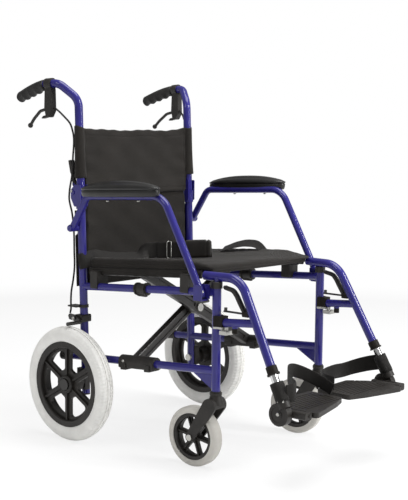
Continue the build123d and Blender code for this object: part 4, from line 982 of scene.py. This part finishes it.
class CHAIR_OT_grips(bpy.types.Operator):
    """Make the push grips: a swelling back, four finger hollows below, a front flange and a flat end"""
    bl_idname = "chair.grips"
    bl_label = "Push grips"

    def execute(self, context):
        for side, name in SIDE_NAMES.items():
            start, far = chair_points([(-250, 113, 940), (-246, 212, 911)], side)
            run = unit(far - start)
            beside = unit(np.cross(run, (0, 0, 1)))
            over = np.cross(beside, run)
            t = np.linspace(0, 1, 130)
            s = 0.0015 + 0.1125 * t
            angle = full_turn(56)
            upper = 0.0132 + 0.0034 * np.sin(np.pi * t ** 0.8)
            lower = 0.0168 - 0.0034 * np.abs(np.sin(4 * np.pi * np.clip(t * 1.06 - 0.06, 0, 1))) ** 1.3
            weight = smoothstep(0.75, -0.55, np.sin(angle))
            radius = upper[:, None] + (lower - upper)[:, None] * weight
            radius = radius - 0.003 * (1 - rounded(np.clip((s - 0.111) / 0.003, 0, 1), 2))[:, None]
            radius[:3] = np.array([[0.0], [0.5], [0.97]]) * radius[3]
            s[:3] = s[2]
            centre = start + s[:, None] * run
            ring = np.cos(angle)[:, None] * beside + np.sin(angle)[:, None] * over
            points = centre[:, None] + radius[..., None] * ring
            tip = centre[-1] + (points[-1:] - centre[-1]) * np.array([0.7, 0.35, 0.0])[:, None, None]
            piece = surface(f"push_grip_skin_{name}", np.concatenate([points, tip]), wrap_v=True)
            finish_with(piece, "black_rubber")
            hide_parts(f"push_grip_{name}")
            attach(piece, f"back_{name}")
        return {"FINISHED"}


class CHAIR_OT_latch_grips(bpy.types.Operator):
    """Make the moulded grips on the squeeze levers that free the leg rests"""
    bl_idname = "chair.latch_grips"
    bl_label = "Latch grips"

    def execute(self, context):
        corners = [(-207.6, -540.4, 393), (-207.6, -524, 417.6), (-207.6, -511.5, 436.3),
                   (-207.6, -503.5, 444), (-207.6, -491.5, 447.5), (-207.6, -474.5, 450)]
        size = rounded(np.linspace(-1, 1, 60), 14, 0.15)
        across = np.tile([1.0, 0, 0], (60, 1))
        for side, name in SIDE_NAMES.items():
            path = smooth_path(chair_points(corners, side), 60)
            thick = np.cross(heading(path), across)
            piece = swept(f"latch_grip_{name}", path, across, thick, 0.013 * size, 0.0098 * size, 4, 3)
            finish_with(piece, "black_plastic")
            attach(piece, f"latch_{name}")
        return {"FINISHED"}


class CHAIR_OT_fasteners(bpy.types.Operator):
    """Make the bright screw and bolt heads, joined for each body that carries them"""
    bl_idname = "chair.fasteners"
    bl_label = "Fasteners"

    def execute(self, context):
        dome = [(0, 0.25), (0.36, 0.25), (0.42, 0.62), (0.7, 0.56), (0.92, 0.36), (1, 0.1)]
        for side, name in SIDE_NAMES.items():
            clamp = "brace_a" if side == RIGHT else "brace_b"
            groups = {
                f"{name}_frame": [(-244.0, 16, 322, -1, 0, 0, 5.0), (-229.8, 37.5, 659, -1, 0, 0, 4.2)],
                f"extension_{name}": [(-233.0, -659, 177.4, -1, 0, 0, 4.6),
                                      (-237.2, -661.7, 208, -1, 0.15, 0, 2.6),
                                      (-234.3, -674.5, 209.6, -0.76, -0.54, 0.36, 2.6)],
                f"arm_rest_{name}": [(-255, -125, 641.6, 0, 0, -1, 4.0), (-255, -234, 646.8, 0, 0, -1, 4.0),
                                     (-243.2, -437, 438.8, -0.36, -0.82, 0.45, 3.2)],
                clamp: [(-230.7, -157.3, 229.2, -1, 0, 0.12, 4.0)],
            }
            for body, heads in groups.items():
                parts = []
                for x, y, z, ax, ay, az, radius in heads:
                    place = chair_points([(x, y, z)], side)[0]
                    radius /= 1000
                    profile = [(radius * out, radius * up) for out, up in dome]
                    profile += [(radius, -0.0006), (0, -0.0006)]
                    parts.append(revolved("head", profile, place, (-side * ax, ay, az), 28))
                piece = one_mesh(f"fasteners_{body}_{name}", parts)
                finish_with(piece, "zinc_steel")
                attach(piece, body)
        return {"FINISHED"}


# Stage and panel


class CHAIR_OT_stage(bpy.types.Operator):
    """Make the floor, the soft studio light and the camera"""
    bl_idname = "chair.stage"
    bl_label = "Stage"

    def execute(self, context):
        self.floor()
        self.world(context.scene)
        self.lamps()
        self.camera(context.scene)
        context.scene.view_settings.view_transform = "Standard"
        return {"FINISHED"}

    def floor(self):
        """Flat disc whose colour fades to the white backdrop away from the chair."""
        angle, radius = np.meshgrid(full_turn(96), np.linspace(0, 14, 30), indexing="ij")
        points = np.stack([radius * np.cos(angle), radius * np.sin(angle), np.full_like(radius, -0.0002)], -1)
        floor = surface("floor", points, wrap_u=True)
        if floor.data.polygons[0].normal.z < 0:
            floor.data.flip_normals()
        p = Paint("studio_floor", Base_Color=(0.93, 0.93, 0.93, 1.0), Roughness=0.9, Specular_IOR_Level=0.1)
        x, y, _ = p.axes(p.place())
        far = ((x * x + y * y) ** 0.5).between(1.3, 3.2).most(0.76)
        glow = p.node("ShaderNodeEmission", inputs={"Color": WHITE, "Strength": 1.0})
        share = far * p.seen_by("Camera", "Glossy")
        p.feed(p.output.inputs[0], p.node("ShaderNodeMixShader", inputs={
            0: share, 1: Sock(p, p.shader.outputs[0]), 2: glow}))
        floor.data.materials.append(p.material)

    def world(self, scene):
        """Even grey light from all round, which shows white behind the chair."""
        world = bpy.data.worlds.new("studio")
        scene.world = world
        sky = Nodes(world)
        light = sky.node("ShaderNodeBackground", inputs={"Color": WHITE, "Strength": 0.36})
        backdrop = sky.node("ShaderNodeBackground", inputs={"Color": WHITE})
        seen = sky.seen_by("Camera", "Transmission")
        output = sky.tree.nodes.new("ShaderNodeOutputWorld")
        sky.feed(output.inputs[0], sky.node("ShaderNodeMixShader", inputs={0: seen, 1: light, 2: backdrop}))

    def lamps(self):
        """A large box above, one to the camera's right, a rim box and a strip for the tubes' highlights."""
        for name, place, wide, tall, power in LAMPS:
            lamp = bpy.data.lights.new(name, "AREA")
            lamp.shape = "RECTANGLE"
            lamp.energy, lamp.size, lamp.size_y = power, wide, tall
            obj = bpy.data.objects.new(name, lamp)
            obj.location = place
            aim = Vector((0, 0, 0.45)) - Vector(place)
            obj.rotation_euler = aim.to_track_quat("-Z", "Y").to_euler()
            bpy.context.scene.collection.objects.link(obj)

    def camera(self, scene):
        """The photograph's viewpoint: yaw, pitch and roll, then the shift that frames it."""
        yaw, pitch, roll = (math.radians(a) for a in (-48.733, 6.252, 0.505))
        ahead = Vector((-math.sin(yaw) * math.cos(pitch), math.cos(yaw) * math.cos(pitch), -math.sin(pitch)))
        side = ahead.cross(Vector((0, 0, 1))).normalized()
        up = side.cross(ahead)
        turned_side = math.cos(roll) * side + math.sin(roll) * up
        turned_up = -math.sin(roll) * side + math.cos(roll) * up
        lens = bpy.data.cameras.new("camera")
        lens.lens, lens.sensor_width, lens.sensor_fit = 80.89, 36.0, "AUTO"
        lens.shift_x, lens.shift_y = 0.0187, 0.0038
        camera = bpy.data.objects.new("camera", lens)
        place = Vector((-2.25065, -2.17218 + Y0, 0.82554))
        camera.matrix_world = Matrix.Translation(place) @ Matrix(
            (turned_side, turned_up, -ahead)).transposed().to_4x4()
        scene.collection.objects.link(camera)
        scene.camera = camera


OPERATORS = (CHAIR_OT_stage, CHAIR_OT_finishes, CHAIR_OT_seat, CHAIR_OT_back, CHAIR_OT_arm_pads,
             CHAIR_OT_lap_belt, CHAIR_OT_heel_straps, CHAIR_OT_cables, CHAIR_OT_grips,
             CHAIR_OT_latch_grips, CHAIR_OT_fasteners)


class CHAIR_PT_pieces(bpy.types.Panel):
    """Sidebar list of the chair's pieces"""
    bl_idname = "CHAIR_PT_pieces"
    bl_label = "Wheelchair"
    bl_space_type = "VIEW_3D"
    bl_region_type = "UI"
    bl_category = "Wheelchair"

    def draw(self, context):
        for group in (context.scene.chair_colours, context.scene.chair_sizes):
            for name in group.__annotations__:
                self.layout.prop(group, name)
        for operator in OPERATORS:
            self.layout.operator(operator.bl_idname)


CLASSES = (ChairColours, ChairSizes) + OPERATORS + (CHAIR_PT_pieces,)


def register():
    for cls in CLASSES:
        bpy.utils.register_class(cls)
    bpy.types.Scene.chair_colours = bpy.props.PointerProperty(type=ChairColours)
    bpy.types.Scene.chair_sizes = bpy.props.PointerProperty(type=ChairSizes)


def unregister():
    del bpy.types.Scene.chair_sizes
    del bpy.types.Scene.chair_colours
    for cls in reversed(CLASSES):
        bpy.utils.unregister_class(cls)


def main():
    register()
    bpy.ops.chair.stage()
    bpy.ops.chair.finishes()
    bpy.ops.chair.seat()
    bpy.ops.chair.back()
    bpy.ops.chair.arm_pads()
    bpy.ops.chair.lap_belt()
    bpy.ops.chair.heel_straps()
    bpy.ops.chair.cables()
    bpy.ops.chair.grips()
    bpy.ops.chair.latch_grips()
    bpy.ops.chair.fasteners()


if __name__ == "__main__":
    main()
